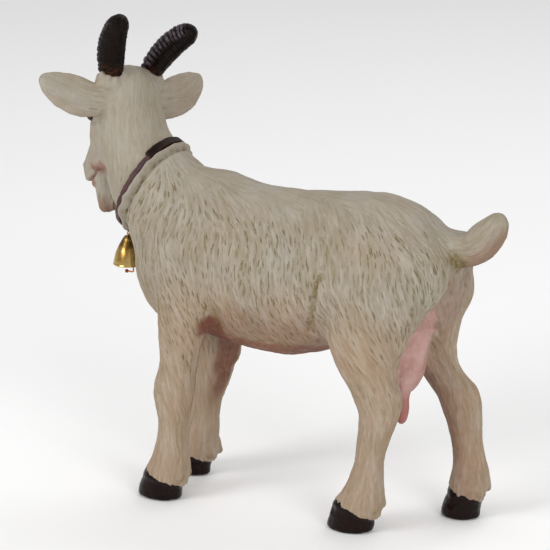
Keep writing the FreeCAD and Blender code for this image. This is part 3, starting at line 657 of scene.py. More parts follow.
def field_normal(p):
    reach = 0.4
    return unit(np.stack([sample(skin_field, p + reach * axis) - sample(skin_field, p - reach * axis)
                          for axis in np.eye(3)], 1))


CELL_SHIFT, CELL_SPAN = 2000, 4096           # keep the keys of cells positive and apart


def cell_key(cell):
    return (cell[:, 0] * CELL_SPAN + cell[:, 1]) * CELL_SPAN + cell[:, 2]


class Neighbours:
    """Finds mesh points near other points, through a sorted list of cells."""

    def __init__(self, p, size):
        self.size = size
        keys = cell_key(np.floor(p / size).astype(np.int64) + CELL_SHIFT)
        self.order = np.argsort(keys, kind="stable")
        self.keys = keys[self.order]

    def pairs(self, centres):
        base = np.floor(centres / self.size).astype(np.int64) + CELL_SHIFT
        for offset in np.ndindex(3, 3, 3):
            keys = cell_key(base + np.array(offset) - 1)
            first = np.searchsorted(self.keys, keys, "left")
            count = np.searchsorted(self.keys, keys, "right") - first
            if not count.sum():
                continue
            start = np.cumsum(count) - count
            which = np.repeat(np.arange(len(centres)), count)
            place = np.arange(count.sum()) - np.repeat(start, count) + np.repeat(first, count)
            yield which, self.order[place]


finder = Neighbours(P, 0.9)
rng = np.random.default_rng(SEED)


def seeds(spacing, keep):
    """Points of the skin about spacing apart, thinned to the share keep of each point."""
    chosen = rng.permutation(len(P))
    chosen = chosen[rng.random(len(chosen)) < 0.6]
    cell = np.floor(P[chosen] / spacing + 0.37).astype(np.int64) + 2000
    cell = np.floor(P[chosen] / spacing + 0.37).astype(np.int64) + CELL_SHIFT
    _, first = np.unique(cell_key(cell), return_index=True)
    chosen = chosen[first]
    return chosen[rng.random(len(chosen)) < keep[chosen]]


def strokes(chosen, length, half_width, stray):
    """Carved strokes that follow the coat from the chosen points.

    Gives each mesh point the depth of its groove, 0 to 1, a cone that is 1 on a stroke's line and
    0.5 at its edge, which stays crisp between mesh points, and how strongly the stroke is painted.
    """
    pace = 0.55
    power_of = rng.uniform(0.15, 1.0, len(chosen)) ** 0.8
    p, n = P[chosen].copy(), N[chosen].copy()
    turn = rng.normal(0, stray, len(chosen))
    wanted = length * rng.uniform(0.65, 1.3, len(chosen))
    steps = int(math.ceil(length * 1.3 / pace))
    groove, cone, tone = np.zeros(len(P)), np.zeros(len(P)), np.zeros(len(P))
    for k in range(steps):
        lie = lie_of_coat(p, n)
        across = np.cross(n, lie)
        way = unit(lie + across * turn[:, None])
        ahead = p + way * pace
        n = field_normal(ahead)
        active = (k * pace) < wanted
        share = np.clip(((k + 0.5) * pace) / wanted, 0, 1)
        taper = np.sin(np.pi * np.clip(share * 0.86 + 0.12, 0, 1)) ** 0.7
        a, b = p[active], ahead[active]
        wide = (half_width * (0.5 + 0.5 * taper))[active]
        power = taper[active]
        strong = power_of[active]
        middle = (a + b) / 2
        along = b - a
        for which, point in finder.pairs(middle):
            q = P[point] - a[which]
            t = np.clip((q * along[which]).sum(1) / (pace * pace), 0, 1)
            gap = np.linalg.norm(q - along[which] * t[:, None], axis=1)
            near = gap < 2 * wide[which]
            which, point, gap = which[near], point[near], gap[near] / wide[which][near]
            np.maximum.at(groove, point, np.clip(1 - gap ** 2, 0, 1) * power[which])
            np.maximum.at(cone, point, (1 - gap / 2) * (0.6 + 0.4 * power[which]))
            np.maximum.at(tone, point, strong[which])
        p = ahead
    return groove, cone, tone


# Where the carving is dense, and where the paint is left smooth.
smooth_skin = is_part("udder") | on_hooves
# The underside of the trunk is carved less and painted reddish, partly the belly's pink skin and partly
# painted shade.
trunk_under = step(46.5, 44.0, Z + 0.9 * soft_noise(P, 2.2, 5)) * on_torso
trunk_under = trunk_under * step(-17, -13, Y) * step(24.5, 20, Y)
top = step(0.55, 0.95, NZ) * on_torso * step(60, 66, Z)
strand_keep = np.where(smooth_skin, 0.0, 1.0) * (1 - 0.75 * top) * (1 - 0.6 * trunk_under)
dash_keep = np.where(on_torso, 0.95, 0.0)
dash_keep = dash_keep * (1 - step(0.35, 0.75, NZ) * step(60, 66, Z))
dash_keep = dash_keep * (1 - trunk_under)
dash_keep = np.where(on_legs, 0.30 * step(26, 46, Z), dash_keep)
dash_keep = dash_keep * (1 - 0.75 * step(-30, -38, Y) * step(76, 66, Z) * on_torso)
dash_keep = dash_keep * (1 - step(43, 46, Y) * step(70, 73, Z))
dash_keep = dash_keep * (1 - (np.abs(X + 0.5) < 6.5) * step(40, 42, Y) * step(64, 61, Z))
dash_keep = np.where(is_part("head"), 0.02, dash_keep)
dash_keep = np.where(is_part("beard"), 0.3, dash_keep)

smooth_roll = on_neck * step(-1.7, -1.3, behind) * step(0.6, 0.2, behind)
strand_keep = strand_keep * (1 - smooth_roll)
dash_keep = dash_keep * (1 - smooth_roll)
strand, strand_line, strand_power = strokes(
    seeds(1.25, strand_keep), length=3.6, half_width=0.20, stray=0.10)
dash, dash_line, dash_power = strokes(
    seeds(1.85, dash_keep), length=1.9, half_width=0.20, stray=0.10)

# The finest strands: a noise drawn out along the way the hair lies.
combed = np.zeros(len(P))
hair_way = lie_of_coat(P, N)
for k in range(-5, 6):
    combed += soft_noise(P + hair_way * (0.42 * k), 0.75, 24)
combed = combed / 11 / 0.25

fine_hair = (1 - 0.5 * top) * np.where(on_head, 0.55, 1.0) * (1 - 0.8 * smooth_roll)
combed *= fine_hair
relief = 0.15 * strand * np.where(on_head, 0.6, 1.0) + 0.21 * dash - 0.065 * combed
relief *= np.where(smooth_skin, 0.2, 1.0)
relief += is_part("udder") * 0.07 * (soft_noise(P, 1.6, 30) + soft_noise(P, 0.8, 34))
P = P - N * relief[:, None]
X, Y, Z = P.T

# ---- paint masks ----
dash_tone = np.clip(dash_power * (0.85 + 0.45 * soft_noise(P, 8.0, 8)), 0.0, 1)
strand_tone = np.clip(strand_power * (0.60 + 0.45 * soft_noise(P, 6.0, 15)), 0.0, 1)
strand_tone *= np.where(on_head, 0.55, 1.0)
# Reddish-brown on the inner legs, the underside of the trunk and the lower sides is partly the pink skin
# paint and partly painted shade where the body shades itself; the nose and the beard's tip take only the
# paint.
inward = -NX * np.sign(X + 0.001)
ragged = 0.12 * soft_noise(P * (1, 1, 0.4), 1.6, 17)
fore = (Y < 0) & (on_legs | on_torso)
hind = (Y > 0) & (on_legs | on_torso)
fore_inner = step(0.42, 0.78, NY * 0.82 + inward * 0.38 + ragged) * step(0.0, 0.35, inward)
fore_inner = fore_inner * step(17, 27, Z) * step(54, 48, Z) * fore
hind_inner = step(0.25, 0.75, inward + ragged) * step(30, 44, Z) * step(66, 56, Z) * hind
shank_front = step(0.25, 0.75, -NY * 0.8 + inward * 0.5 + ragged) * step(0.1, 0.45, inward)
shank_front = shank_front * step(12, 18, Z) * step(48, 40, Z) * hind
blush_and_shade = np.maximum.reduce([trunk_under, fore_inner, 0.38 * hind_inner, 0.65 * shank_front])
# Painted shade in the cleft between the buttocks.
cleft = step(5.0, 3.6, X) * step(-8.5, -5.5, X) * step(40, 43, Y) * step(70, 64, Z)
blush_and_shade = np.maximum(blush_and_shade, 0.45 * cleft * (on_torso | on_legs) * (0.8 + 0.4 * soft_noise(P, 1.5, 29)))
distance, along = segment_distance(P, (3.4, 42.0, 51.0), (4.6, 45.0, 58.5))
udder_top = (on_torso | on_legs) * step(3.8 - 2.4 * along, 2.4 - 2.2 * along, distance)
# Painted shade: deep red-brown in the hollow behind each elbow.
distance = from_segment(P, (9.4, -13.6, 47.6), (1.0, -12.5, 43.5))
armpit_shade = step(4.4, 2.0, distance + 0.6 * soft_noise(P, 1.6, 9))
distance = from_segment(P, (-8.6, -11.4, 47.6), (-1.0, -11.0, 43.5))
armpit_shade = np.maximum(armpit_shade, step(3.6, 1.2, distance))
# Reddish patches of the face: start, end, where they fade out and are full, raggedness, share.
FACE_PATCHES = [
    ((5, -3.4, -16.3), (5.7, 1, -15.6), 2.9, 0.3, 0.8, 0.95),     # beyond the mouth
    ((6.2, -5.2, -3.8), (5.8, -6, -5.2), 3.0, 0.2, 0.8, 0.35),    # below the eye
    ((2.5, -8.1, -20.6), (3.4, -10, -20.8), 1.5, 0.2, 0.4, 0.7),  # lower lip
]
mouth = 0.75 * step(0.75, 0.2, lips)
dark_line = by_eye * step(1.12, 0.98, eye_round)
for side in SIDES:
    for a, b, low, high, uneven, share in FACE_PATCHES:
        distance = from_segment(H, mirrored(a, side), mirrored(b, side))
        mouth = np.maximum(mouth, share * step(low, high, distance + uneven * soft_noise(P, 1.3, 10)))
    distance = from_segment(H, (1.7 * side, -13.7, -17.4), (2.9 * side, -12.7, -17.4))
    dark_line = np.maximum(dark_line, 0.8 * on_head * step(0.8, 0.35, distance))
    blush_and_shade = np.maximum(blush_and_shade, 0.4 * on_head * step(3.0, 0.8, distance))
mouth = mouth * on_head
beard_tip = on_head * step(-22.5, -26.5, HZ + 0.8 * soft_noise(P, 1.3, 11))
beard_tip = beard_tip * step(0.0, -1.5, HY)
# Painted shade on the underside of the tail.
shade_under_tail = is_part("tail") * step(0.1, -0.5, NZ - NY * 0.2)
teat = is_part("udder") * step(37.0, 33.0, Z)
blush_and_shade = np.maximum.reduce([blush_and_shade, armpit_shade, 0.75 * beard_tip, 0.6 * shade_under_tail])
warm = np.clip(0.85 * step(66, 44, Z) + 0.25 * soft_noise(P, 9.0, 12), 0, 1)
# Painted shade: the lower sides of the trunk darken towards the bottom.
low_side = on_torso * step(58, 49, Z + 1.5 * soft_noise(P, 3.0, 25)) * step(-15, -9, Y)
blush_and_shade = np.maximum(blush_and_shade, 0.42 * low_side * step(22, 14, Y))
warm = np.maximum(warm, 0.3 * ear_rim * (1 - ear_cup))

# Olive stain settles in folds.
STAINS = [
    ((14.1, 18.5, 66), (13.4, 16.6, 59.5), 0.8, 0.85),
    ((13.4, 16.6, 59.5), (11.2, 14.7, 50.5), 0.9, 0.7),
    ((-13, 22, 62), (-12, 20, 49.5), 1.5, 0.7),
    ((11, -12.3, 57), (9.5, -11.5, 47), 1.1, 0.5),
    ((3.4, 49, 71), (2.8, 50.5, 68.4), 1.9, 0.9),
    ((-3.4, 49, 71), (-2.8, 50.5, 68.4), 1.9, 0.9),
]
stain = np.zeros(len(P))
for a, b, radius, power in STAINS:
    distance = from_segment(P, a, b) + 0.5 * soft_noise(P, 1.3, 13)
    stain = np.maximum(stain, power * step(radius * 1.5, radius * 0.3, distance))
for a, b in DEWCLAWS:
    distance = np.linalg.norm(P - ((a + b) / 2 + (0, 0.2, -1.4)), axis=1)
    stain = np.maximum(stain, 0.5 * step(1.7, 0.6, distance))
stain = np.maximum(stain, 0.8 * roll_groove * step(-0.3, 0.6, soft_noise(P, 1.3, 26)))
stain *= on_torso | is_part("tail") | on_legs | on_neck

HALF_SPAN = 21.98                            # the ears' tips stay inside the castings' box
P[:, 2] = np.maximum(P[:, 2], 0.0)
P[:, 0] = np.clip(P[:, 0], -HALF_SPAN - ROW_SHIFT[0], HALF_SPAN - ROW_SHIFT[0])
smooth_normals = point_normals(P)

# ---- one piece for each casting ----
# Each point takes the commonest owner round it, so that no stray faces are left.
VOTE_ROUNDS = 4
for _ in range(VOTE_ROUNDS):
    votes = np.zeros(len(P) * len(CASTINGS), np.int32)
    for k in range(4):
        for m in range(4):
            votes += np.bincount(QUADS[:, k].astype(np.int64) * len(CASTINGS) + owner[QUADS[:, m]],
                                 minlength=len(votes)).astype(np.int32)
    owner = votes.reshape(len(P), -1).argmax(1)
del votes
face_owner = np.array([owner[QUADS[:, k]] for k in range(4)]).T
face_label = np.where(face_owner[:, 0] == face_owner[:, 1], face_owner[:, 0], face_owner[:, 2])

SEAM_TURN = 0.5                              # how far a cut edge turns inwards


def seam_caps(quads, points, normals):
    """Closes each open seam of a piece with a rim that turns inwards and a fan: new points, new faces."""
    edges = np.concatenate([quads[:, [k, (k + 1) % 4]] for k in range(4)])
    key = edges.min(1).astype(np.int64) * len(points) + edges.max(1)
    _, first, count = np.unique(key, return_index=True, return_counts=True)
    after = {}
    for a, b in edges[first[count == 1]].tolist():
        after.setdefault(a, []).append(b)
    fresh, faces = [], []
    while after:
        start = next(iter(after))
        loop, here = [], start
        while here in after:
            loop.append(here)
            ahead = after[here].pop()
            if not after[here]:
                del after[here]
            here = ahead
        rim = len(points) + len(fresh)
        middle = rim + len(loop)
        inner = points[loop] - SEAM_TURN * normals[loop]
        fresh += [*inner, inner.mean(0)]
        for k, a in enumerate(loop):
            m = (k + 1) % len(loop)
            faces += [[loop[m], a, rim + k, rim + m], [rim + m, rim + k, middle]]
    return np.array(fresh).reshape(-1, 3), faces


skin_pieces = {}
ATTRIBUTES = {
    "strand_line": strand_line, "dash_line": dash_line, "strand_tone": strand_tone,
    "dash_tone": dash_tone, "combed": combed, "blush_and_shade": blush_and_shade, "warm": warm, "stain": stain,
    "mouth": mouth, "teat": teat, "ear_cup": ear_cup, "armpit_shade": armpit_shade, "dark_line": dark_line,
    "udder_top": udder_top,
}
for k, name in enumerate(CASTINGS):
    used, compact = np.unique(QUADS[face_label == k], return_inverse=True)
    compact = compact.reshape(-1, 4)
    fresh, extra = seam_caps(compact, P[used], smooth_normals[used])
    normals = np.concatenate([smooth_normals[used], np.tile((0.0, 0.0, 1.0), (len(fresh), 1))])
    piece = make_mesh("skin_" + name, np.concatenate([P[used], fresh]), compact.tolist() + extra,
                      normals)
    for key, values in ATTRIBUTES.items():
        add_value(piece.data, key, np.concatenate([values[used], np.zeros(len(fresh))]))
    stand_for(piece, "goat", name)
    skin_pieces[name] = piece
bpy.data.meshes.remove(smooth_mesh)

# ---- horns ----
HORN_LINES = {
    "horn_left": (1, [
        (5.8, 2.4, 5.6, 2.6), (5.9, 2.8, 7.2, 2.9), (6.8, 3.8, 10.5, 3.4), (8.1, 5.5, 14.6, 3.65),
        (9.3, 8.3, 18.6, 3.35), (10.5, 11.7, 21.5, 2.7), (11.1, 13.5, 22.7, 1.6)]),
    "horn_right": (-1, [
        (5.5, 2.1, 5.6, 2.4), (5.5, 2.1, 7.2, 2.7), (6.1, 3.1, 10.5, 3.25), (7.5, 5.4, 14.3, 3.55),
        (9.1, 8.3, 17.7, 3.4), (10.6, 11.3, 19.9, 2.9), (11.4, 13.2, 20.6, 1.8)]),
}
KEEL_TURN = 1.75                             # from a horn's back to the edge of its ridged face
TIP_START = 0.94                             # share of the length where the tip begins to round off


def horn(name):
    side, rows = HORN_LINES[name]
    count, turns = 190, 72
    line = path_points(rows, count)
    travel = np.concatenate([[0], np.cumsum(np.linalg.norm(np.diff(line[:, :3], axis=0), axis=1))])
    whole = travel[-1]
    noise_at = np.zeros((count, 3))
    noise_at[:, 0] = travel
    wobble = soft_noise(noise_at + 3.1 * side, 1.3, 21)
    points, centres, ridges, alongs, fronts = [], [], [], [], []
    for k in range(count):
        way = unit(line[min(k + 1, count - 1), :3] - line[max(k - 1, 0), :3])
        fore = unit(np.cross(way, (1.0, 0.0, 0.0)))
        out = np.cross(fore, way)
        share = travel[k] / whole
        phase = travel[k] / (1.75 - 0.45 * share) + 0.30 * wobble[k]
        wave = abs((phase % 1.0) - 0.5) * 2
        ridge = (1 - wave ** 3.2) * step(0.12, 0.22, share) * step(1.0, 0.86, share)
        tip = 1.0
        if share > TIP_START:
            tip = math.sqrt(max(1 - ((share - TIP_START) / 0.06) ** 2, 0.0))
        radius = np.interp(share, travel / whole, line[:, 3])
        radius = max(radius, 1.5) if share > 0.9 else radius
        faint = 0.10 * math.sin(travel[k] * 9.0 + 2.0 * wobble[k])
        for m in range(turns):
            a = 2 * math.pi * m / turns
            keel = 1 + 0.05 * math.cos(3 * a + 0.6)
            keel *= 1 + 0.10 * math.exp(-((a - KEEL_TURN) / 0.30) ** 2)
            front = float(step(0.35, 0.60, (1 - math.cos(a - 0.25)) / 2))
            r = (radius - 0.32 + 0.55 * front * ridge + (1 - front) * faint) * keel * tip
            p = line[k, :3] + fore * math.cos(a) * r + out * math.sin(a) * r * 0.92
            points.append(head_point(mirrored(p, side)))
            fronts.append(front)
        centres += [head_point(mirrored(line[k, :3], side))] * turns
        ridges += [ridge] * turns
        alongs += [share] * turns
    faces = ring_faces(count, turns)
    if side > 0:
        faces = [face[::-1] for face in faces]
    first, last = list(range(turns)), list(range((count - 1) * turns, count * turns))
    faces += [first[::side], last[::-side]]
    points = np.array(points)
    rough = 0.10 * soft_noise(points, 0.9, 22) + 0.06 * soft_noise(points, 0.4, 23)
    points = points + unit(points - np.array(centres)) * rough[:, None]
    piece = make_mesh(name + "_ringed", points, faces)
    add_value(piece.data, "ridge", ridges)
    add_value(piece.data, "along", alongs)
    add_value(piece.data, "front", fronts)
    stand_for(piece, "goat", name)
    return piece


horns = [horn(name) for name in HORN_LINES]

# ---- eyes ----
EYE_CENTRE, EYE_RADIUS = np.array([7.2, -3.4, -2.6]), 1.6


def eye(name, side):
    """Glossy ball with a slot pupil, its pole on the line of sight."""
    centre = EYE_CENTRE * (side, 1, 1)
    sight = unit(np.array([0.93 * side, -0.36, 0.05]))
    across = unit(np.cross(sight, (0.0, 0.0, 1.0)))
    upward = np.cross(across, sight)
    points = []
    rows, turns = 28, 48
    for k in range(rows + 1):
        polar = math.pi * k / rows
        bulge = 1 + 0.05 * math.exp(-(polar / 0.5) ** 2)
        for m in range(turns):
            a = 2 * math.pi * m / turns
            u, v = math.sin(polar) * math.cos(a), math.sin(polar) * math.sin(a)
            ray = math.cos(polar) * sight + u * across + v * upward
            points.append(head_point(centre + EYE_RADIUS * bulge * ray))
    piece = make_mesh(name + "_ball", points, turn_over(ring_faces(rows + 1, turns)))
    face_outwards(piece, merge=1e-7)
    local = to_head(goat_points(piece.data)) - centre
    u, v, w = local @ across / EYE_RADIUS, local @ upward / EYE_RADIUS, local @ sight
    add_value(piece.data, "iris", step(0.66, 0.58, np.hypot(u, v)) * (w > 0))
    add_value(piece.data, "pupil", step(0.46, 0.40, np.abs(u)) * step(0.21, 0.15, np.abs(v)) * (w > 0))
    stand_for(piece, "goat", name)
    return piece


eyes = [eye("eye_left", 1), eye("eye_right", -1)]

# ---- collar strap ----
collar_up = unit(np.cross((-1.0, 0.0, 0.0), COLLAR_AXIS))
collar_left = unit(np.cross(collar_up, COLLAR_AXIS))
LAP_START, LAP_END = -42.0, 40.0


def collar():
    """Leather band round the neck; the lapped end lies over the nape and the left side."""
    turns = 360
    section = [
        (0.0, -1.6), (0.0, -0.22), (0.02, -0.10), (0.08, -0.02), (0.25, 0.01), (0.5, 0.02),
        (0.75, 0.01), (0.92, -0.02), (0.98, -0.10), (1.0, -0.22), (1.0, -1.6)]
    points, laps, edges = [], [], []
    for k in range(turns):
        turn = k * 360.0 / turns
        signed = turn if turn <= 180 else turn - 360
        lap = float(step(LAP_START - 0.6, LAP_START + 0.6, signed)
                    * step(LAP_END + 0.6, LAP_END - 0.6, signed))
        a = math.radians(signed)
        way = collar_up * math.cos(a) + collar_left * math.sin(a)
        x, z = way @ collar_left / COLLAR_HALF_WIDTH, way @ collar_up / COLLAR_HALF_DEPTH
        reach = 1 / math.hypot(x, z)
        ragged = 0.10 * math.sin(a * 17) + 0.07 * math.sin(a * 41 + 1)
        width = 1.5 + 0.6 * lap + ragged * 0.6
        swell = 0.5 * lap - 0.04 + 0.03 * math.sin(a * 23)
        for across, rise in section:
            points.append(COLLAR_CENTRE + COLLAR_AXIS * (across * width)
                          + way * (reach + swell + rise))
            laps.append(lap)
            edges.append(abs(across - 0.5) * 2)
    faces = turn_over(ring_faces(turns, len(section), closed=True))
    piece = make_mesh("collar_band", points, faces)
    face_outwards(piece)
    add_value(piece.data, "lap", laps)
    add_value(piece.data, "edge", edges)
    stand_for(piece, "goat", "collar_strap")
    return piece


strap = collar()

# ---- bell ----
BELL_HEIGHT, BELL_WALL = 7.6, 0.35


def bell():
    """Spun brass bell: a flared cone with a small crown, a turned lip and a thin wall."""
    outer = path_points([
        (0.30, 0.02), (0.9, 0.06), (1.30, 0.40), (1.62, 0.85), (2.52, 2.43), (3.18, 3.75),
        (3.62, 4.95), (3.95, 6.35), (4.08, 7.05), (4.19, 7.30), (4.19, 7.50), (4.10, 7.60)], 64)
    inner = [(max(r - BELL_WALL, 0.22), min(z + 0.30, BELL_HEIGHT - 0.02)) for r, z in outer[::-1]]
    profile = list(map(tuple, outer)) + [(3.95, 7.59)] + inner[4:]
    turns = 128
    points, inside = [], []
    for k, (r, z) in enumerate(profile):
        for m in range(turns):
            a = 2 * math.pi * m / turns
            points.append(BELL_TOP + (r * math.cos(a), r * math.sin(a), -z))
            inside.append(float(k > len(outer)))
    piece = make_mesh("bell_body", points, ring_faces(len(profile), turns, closed=True))
    face_outwards(piece)
    add_value(piece.data, "inside", inside)
    stand_for(piece, "bell", "bell_shell")
    return piece


bell_piece = bell()

# ---- materials ----
def colour(red, green, blue):
    """Linear colour from the 0-255 values a screen shows."""
    def linear(c):
        c /= 255
        return c / 12.92 if c <= 0.04045 else ((c + 0.055) / 1.055) ** 2.4
    return (linear(red), linear(green), linear(blue), 1.0)


class Shader:
    """One node material. Paint is laid on its base colour coat by coat."""

    def __init__(self, name):
        self.material = bpy.data.materials.new(name)
        self.material.use_nodes = True
        self.tree = self.material.node_tree
        self.surface = self.tree.nodes["Principled BSDF"]
        self.place = self.node("TexCoord", "Object", {})
        self.base = None

    def plug(self, socket, value):
        if isinstance(value, bpy.types.NodeSocket):
            self.tree.links.new(value, socket)
        else:
            socket.default_value = value

    def node(self, kind, output, inputs, **settings):
        node = self.tree.nodes.new("ShaderNode" + kind)
        for key, value in settings.items():
            setattr(node, key, value)
        for key, value in inputs.items():
            self.plug(node.inputs[key], value)
        return node.outputs[output]

    def attribute(self, name):
        return self.node("Attribute", "Fac", {}, attribute_name=name)

    def noise(self, scale, detail, stretch=(1, 1, 1), turn=(0, 0, 0), distortion=0.0):
        mapped = self.node("Mapping", "Vector", {
            "Vector": self.place, "Scale": stretch, "Rotation": turn})
        return self.node("TexNoise", "Fac", {
            "Vector": mapped, "Scale": scale, "Detail": detail, "Roughness": 0.55,
            "Distortion": distortion})

    def times(self, a, b):
        return self.node("Math", 0, {0: a, 1: b}, operation="MULTIPLY")

    def plus(self, a, b):
        return self.node("Math", 0, {0: a, 1: b}, operation="ADD")

    def spread(self, value, low, high, to_low=0.0, to_high=1.0):
        return self.node("MapRange", "Result", {
            "Value": value, "From Min": low, "From Max": high, "To Min": to_low, "To Max": to_high})

    def mix(self, share, a, b):
        a, b = [colour(*c) if isinstance(c, tuple) else c for c in (a, b)]
        return self.node("Mix", 2, {0: share, 6: a, 7: b}, data_type="RGBA")

    def mottle(self, noise, low, high, one, two):
        """Two colours in the patches of a noise."""
        return self.mix(self.spread(noise, low, high), one, two)

    def paint(self, share, over):
        self.base = self.mix(share, self.base, over)

    def paint_by(self, name, share, over):
        """Paints where the mesh attribute name says."""
        self.paint(self.times(self.attribute(name), share), over)

    def finish(self, roughness, specular=0.5, bump=None, metallic=0.0):
        """Fills in the surface and gives the material. bump is a height, strength and depth."""
        values = {"Base Color": self.base, "Roughness": roughness,
                  "Specular IOR Level": specular, "Metallic": metallic}
        if bump:
            values["Normal"] = self.node("Bump", "Normal", dict(zip(
                ("Height", "Strength", "Distance"), bump)))
        for key, value in values.items():
            self.plug(self.surface.inputs[key], value)
        return self.material


def coat_material():
    s = Shader("painted_coat")
    broad, fine = s.noise(90, 3), s.noise(900, 2)
    streak = s.noise(1500, 3, stretch=(1, 1, 0.16), turn=(0.2, 0, 0))
    combed = s.attribute("combed")
    olive = s.mottle(fine, 0.4, 0.6, (112, 96, 46), (90, 74, 32))
    s.base = s.mottle(broad, 0.35, 0.65, (150, 143, 131), (144, 134, 117))
    s.paint_by("warm", 0.75, (158, 129, 105))
    s.paint(s.spread(combed, 0.0, 1.2, 0, 0.36), (170, 161, 145))
    s.paint(s.spread(combed, -0.1, -1.2, 0, 0.30), (128, 112, 82))
    s.paint(s.spread(streak, 0.52, 0.74, 0, 0.25), (134, 122, 96))
    # Reddish skin paint together with painted shade under and between the parts.
    s.paint_by("blush_and_shade", s.spread(fine, 0.3, 0.6, 0.8, 1.0),
               s.mottle(broad, 0.4, 0.6, (108, 66, 50), (126, 82, 64)))
    # Painted shade in the armpits.
    s.paint_by("armpit_shade", 0.85, (100, 48, 34))
    s.paint_by("ear_cup", 0.7, (160, 108, 92))
    s.paint_by("udder_top", 0.85, (170, 132, 122))
    s.paint_by("dark_line", 0.9, (40, 24, 20))
    s.paint_by("mouth", 0.85, (122, 66, 46))
    s.paint_by("stain", s.spread(fine, 0.25, 0.55, 0.5, 0.95), olive)
    thin = s.times(s.spread(s.attribute("strand_line"), 0.48, 0.80), s.attribute("strand_tone"))
    s.paint(s.times(thin, 0.50), (120, 104, 66))
    deep = s.times(s.spread(s.attribute("dash_line"), 0.46, 0.72), s.attribute("dash_tone"))
    s.paint(s.times(deep, 0.80), olive)
    height = s.plus(s.times(streak, 0.7), s.times(fine, 0.5))
    return s.finish(s.spread(fine, 0.3, 0.7, 0.52, 0.68), 0.38, (height, 0.5, 0.00012))


def udder_material():
    s = Shader("painted_udder")
    broad, fine = s.noise(160, 3), s.noise(1300, 2)
    s.base = s.mottle(broad, 0.35, 0.65, (176, 140, 132), (160, 118, 108))
    s.paint(s.spread(s.noise(700, 3), 0.5, 0.7, 0, 0.35), (186, 158, 148))
    s.paint(s.spread(s.noise(420, 4, stretch=(1, 1, 0.5)), 0.56, 0.72, 0, 0.5), (140, 92, 80))
    s.paint_by("teat", 0.8, (148, 86, 78))
    return s.finish(s.spread(fine, 0.3, 0.7, 0.38, 0.5), 0.45, (s.plus(fine, broad), 0.5, 0.0002))


def hoof_material():
    s = Shader("black_hoof")
    broad, fine = s.noise(260, 4), s.noise(1600, 3)
    growth = s.noise(700, 3, stretch=(0.25, 0.25, 1.6))
    s.base = s.mottle(broad, 0.35, 0.7, (12, 4, 2), (26, 11, 7))
    s.paint(s.spread(fine, 0.62, 0.8, 0, 0.4), (58, 46, 42))
    height = s.plus(growth, s.times(fine, 0.6))
    return s.finish(s.spread(broad, 0.3, 0.7, 0.10, 0.20), 0.14, (height, 0.6, 0.00022))


def horn_material():
    s = Shader("ringed_horn")
    broad, fine = s.noise(200, 4), s.noise(1100, 4)
    front = s.attribute("front")
    s.base = s.mottle(broad, 0.35, 0.65, (9, 5, 3), (20, 10, 6))
    # Painted highlight: a lilac-grey sheen along the ridges of the front face.
    light = s.times(s.spread(s.attribute("ridge"), 0.45, 1.0, 0.0, 0.9),
                    s.spread(fine, 0.38, 0.62, 0.15, 1.0))
    s.paint(s.times(light, s.spread(front, 0.0, 1.0, 0.0, 0.9)), (106, 95, 102))
    rust = s.times(s.spread(s.attribute("along"), 0.36, 0.10, 0, 0.7), s.spread(fine, 0.42, 0.58))
    s.paint(s.times(rust, s.spread(front, 1.0, 0.0)), (86, 42, 20))
    return s.finish(s.spread(fine, 0.3, 0.7, 0.22, 0.40), 0.08, (s.plus(fine, broad), 0.7, 0.0003))


def eye_material():
    s = Shader("painted_eye")
    fine = s.noise(2200, 3)
    s.base = s.mottle(fine, 0.4, 0.6, (30, 20, 15), (44, 30, 22))
    s.paint(s.attribute("iris"), s.mottle(fine, 0.35, 0.65, (84, 52, 26), (60, 36, 18)))
    s.paint(s.attribute("pupil"), (10, 8, 8))
    return s.finish(s.spread(fine, 0.3, 0.7, 0.06, 0.12), 0.25, (fine, 0.08, 0.00004))


def strap_material():
    s = Shader("collar_leather")
    broad, grain = s.noise(220, 4), s.noise(2400, 4)
    dark = s.mottle(broad, 0.4, 0.65, (18, 11, 9), (34, 21, 16))
    s.base = s.mottle(broad, 0.35, 0.7, (66, 48, 52), (86, 62, 60))
    s.paint(s.attribute("lap"), dark)
    worn = s.spread(s.attribute("edge"), 0.5, 1.0, 0, 0.5)
    s.paint(s.times(worn, s.spread(grain, 0.4, 0.6)), (84, 48, 36))
    return s.finish(s.spread(grain, 0.3, 0.7, 0.34, 0.52), 0.1, (s.plus(grain, broad), 0.6, 0.0002))


# On the bell the light and dark mottle and the dark olive patches are painted reflection; on the wires
# the dark patches are tarnish.
def metal_material(name, light, dark, tarnish_and_dark_reflection, smooth, rough, patch, patch_level):
    s = Shader(name)
    broad, fine = s.noise(patch, 3, distortion=0.6), s.noise(1800, 4)
    s.base = s.mottle(broad, 0.35, 0.6, light, dark)
    share = s.spread(broad, patch_level, patch_level + 0.12, 0, 0.85)
    s.paint(share, tarnish_and_dark_reflection)
    roughness = s.plus(s.spread(fine, 0.3, 0.7, smooth, rough), s.times(share, 0.18))
    return s.finish(roughness, bump=(fine, 0.12, 0.00006), metallic=1.0)


coat, udder_skin, hoof_black = coat_material(), udder_material(), hoof_material()
for name, piece in skin_pieces.items():
    paint = hoof_black if name in HOOVES else udder_skin if name == "udder" else coat
    piece.data.materials.append(paint)
horn_skin, eye_paint = horn_material(), eye_material()
for piece in horns:
    piece.data.materials.append(horn_skin)
for piece in eyes:
    piece.data.materials.append(eye_paint)
strap.data.materials.append(strap_material())
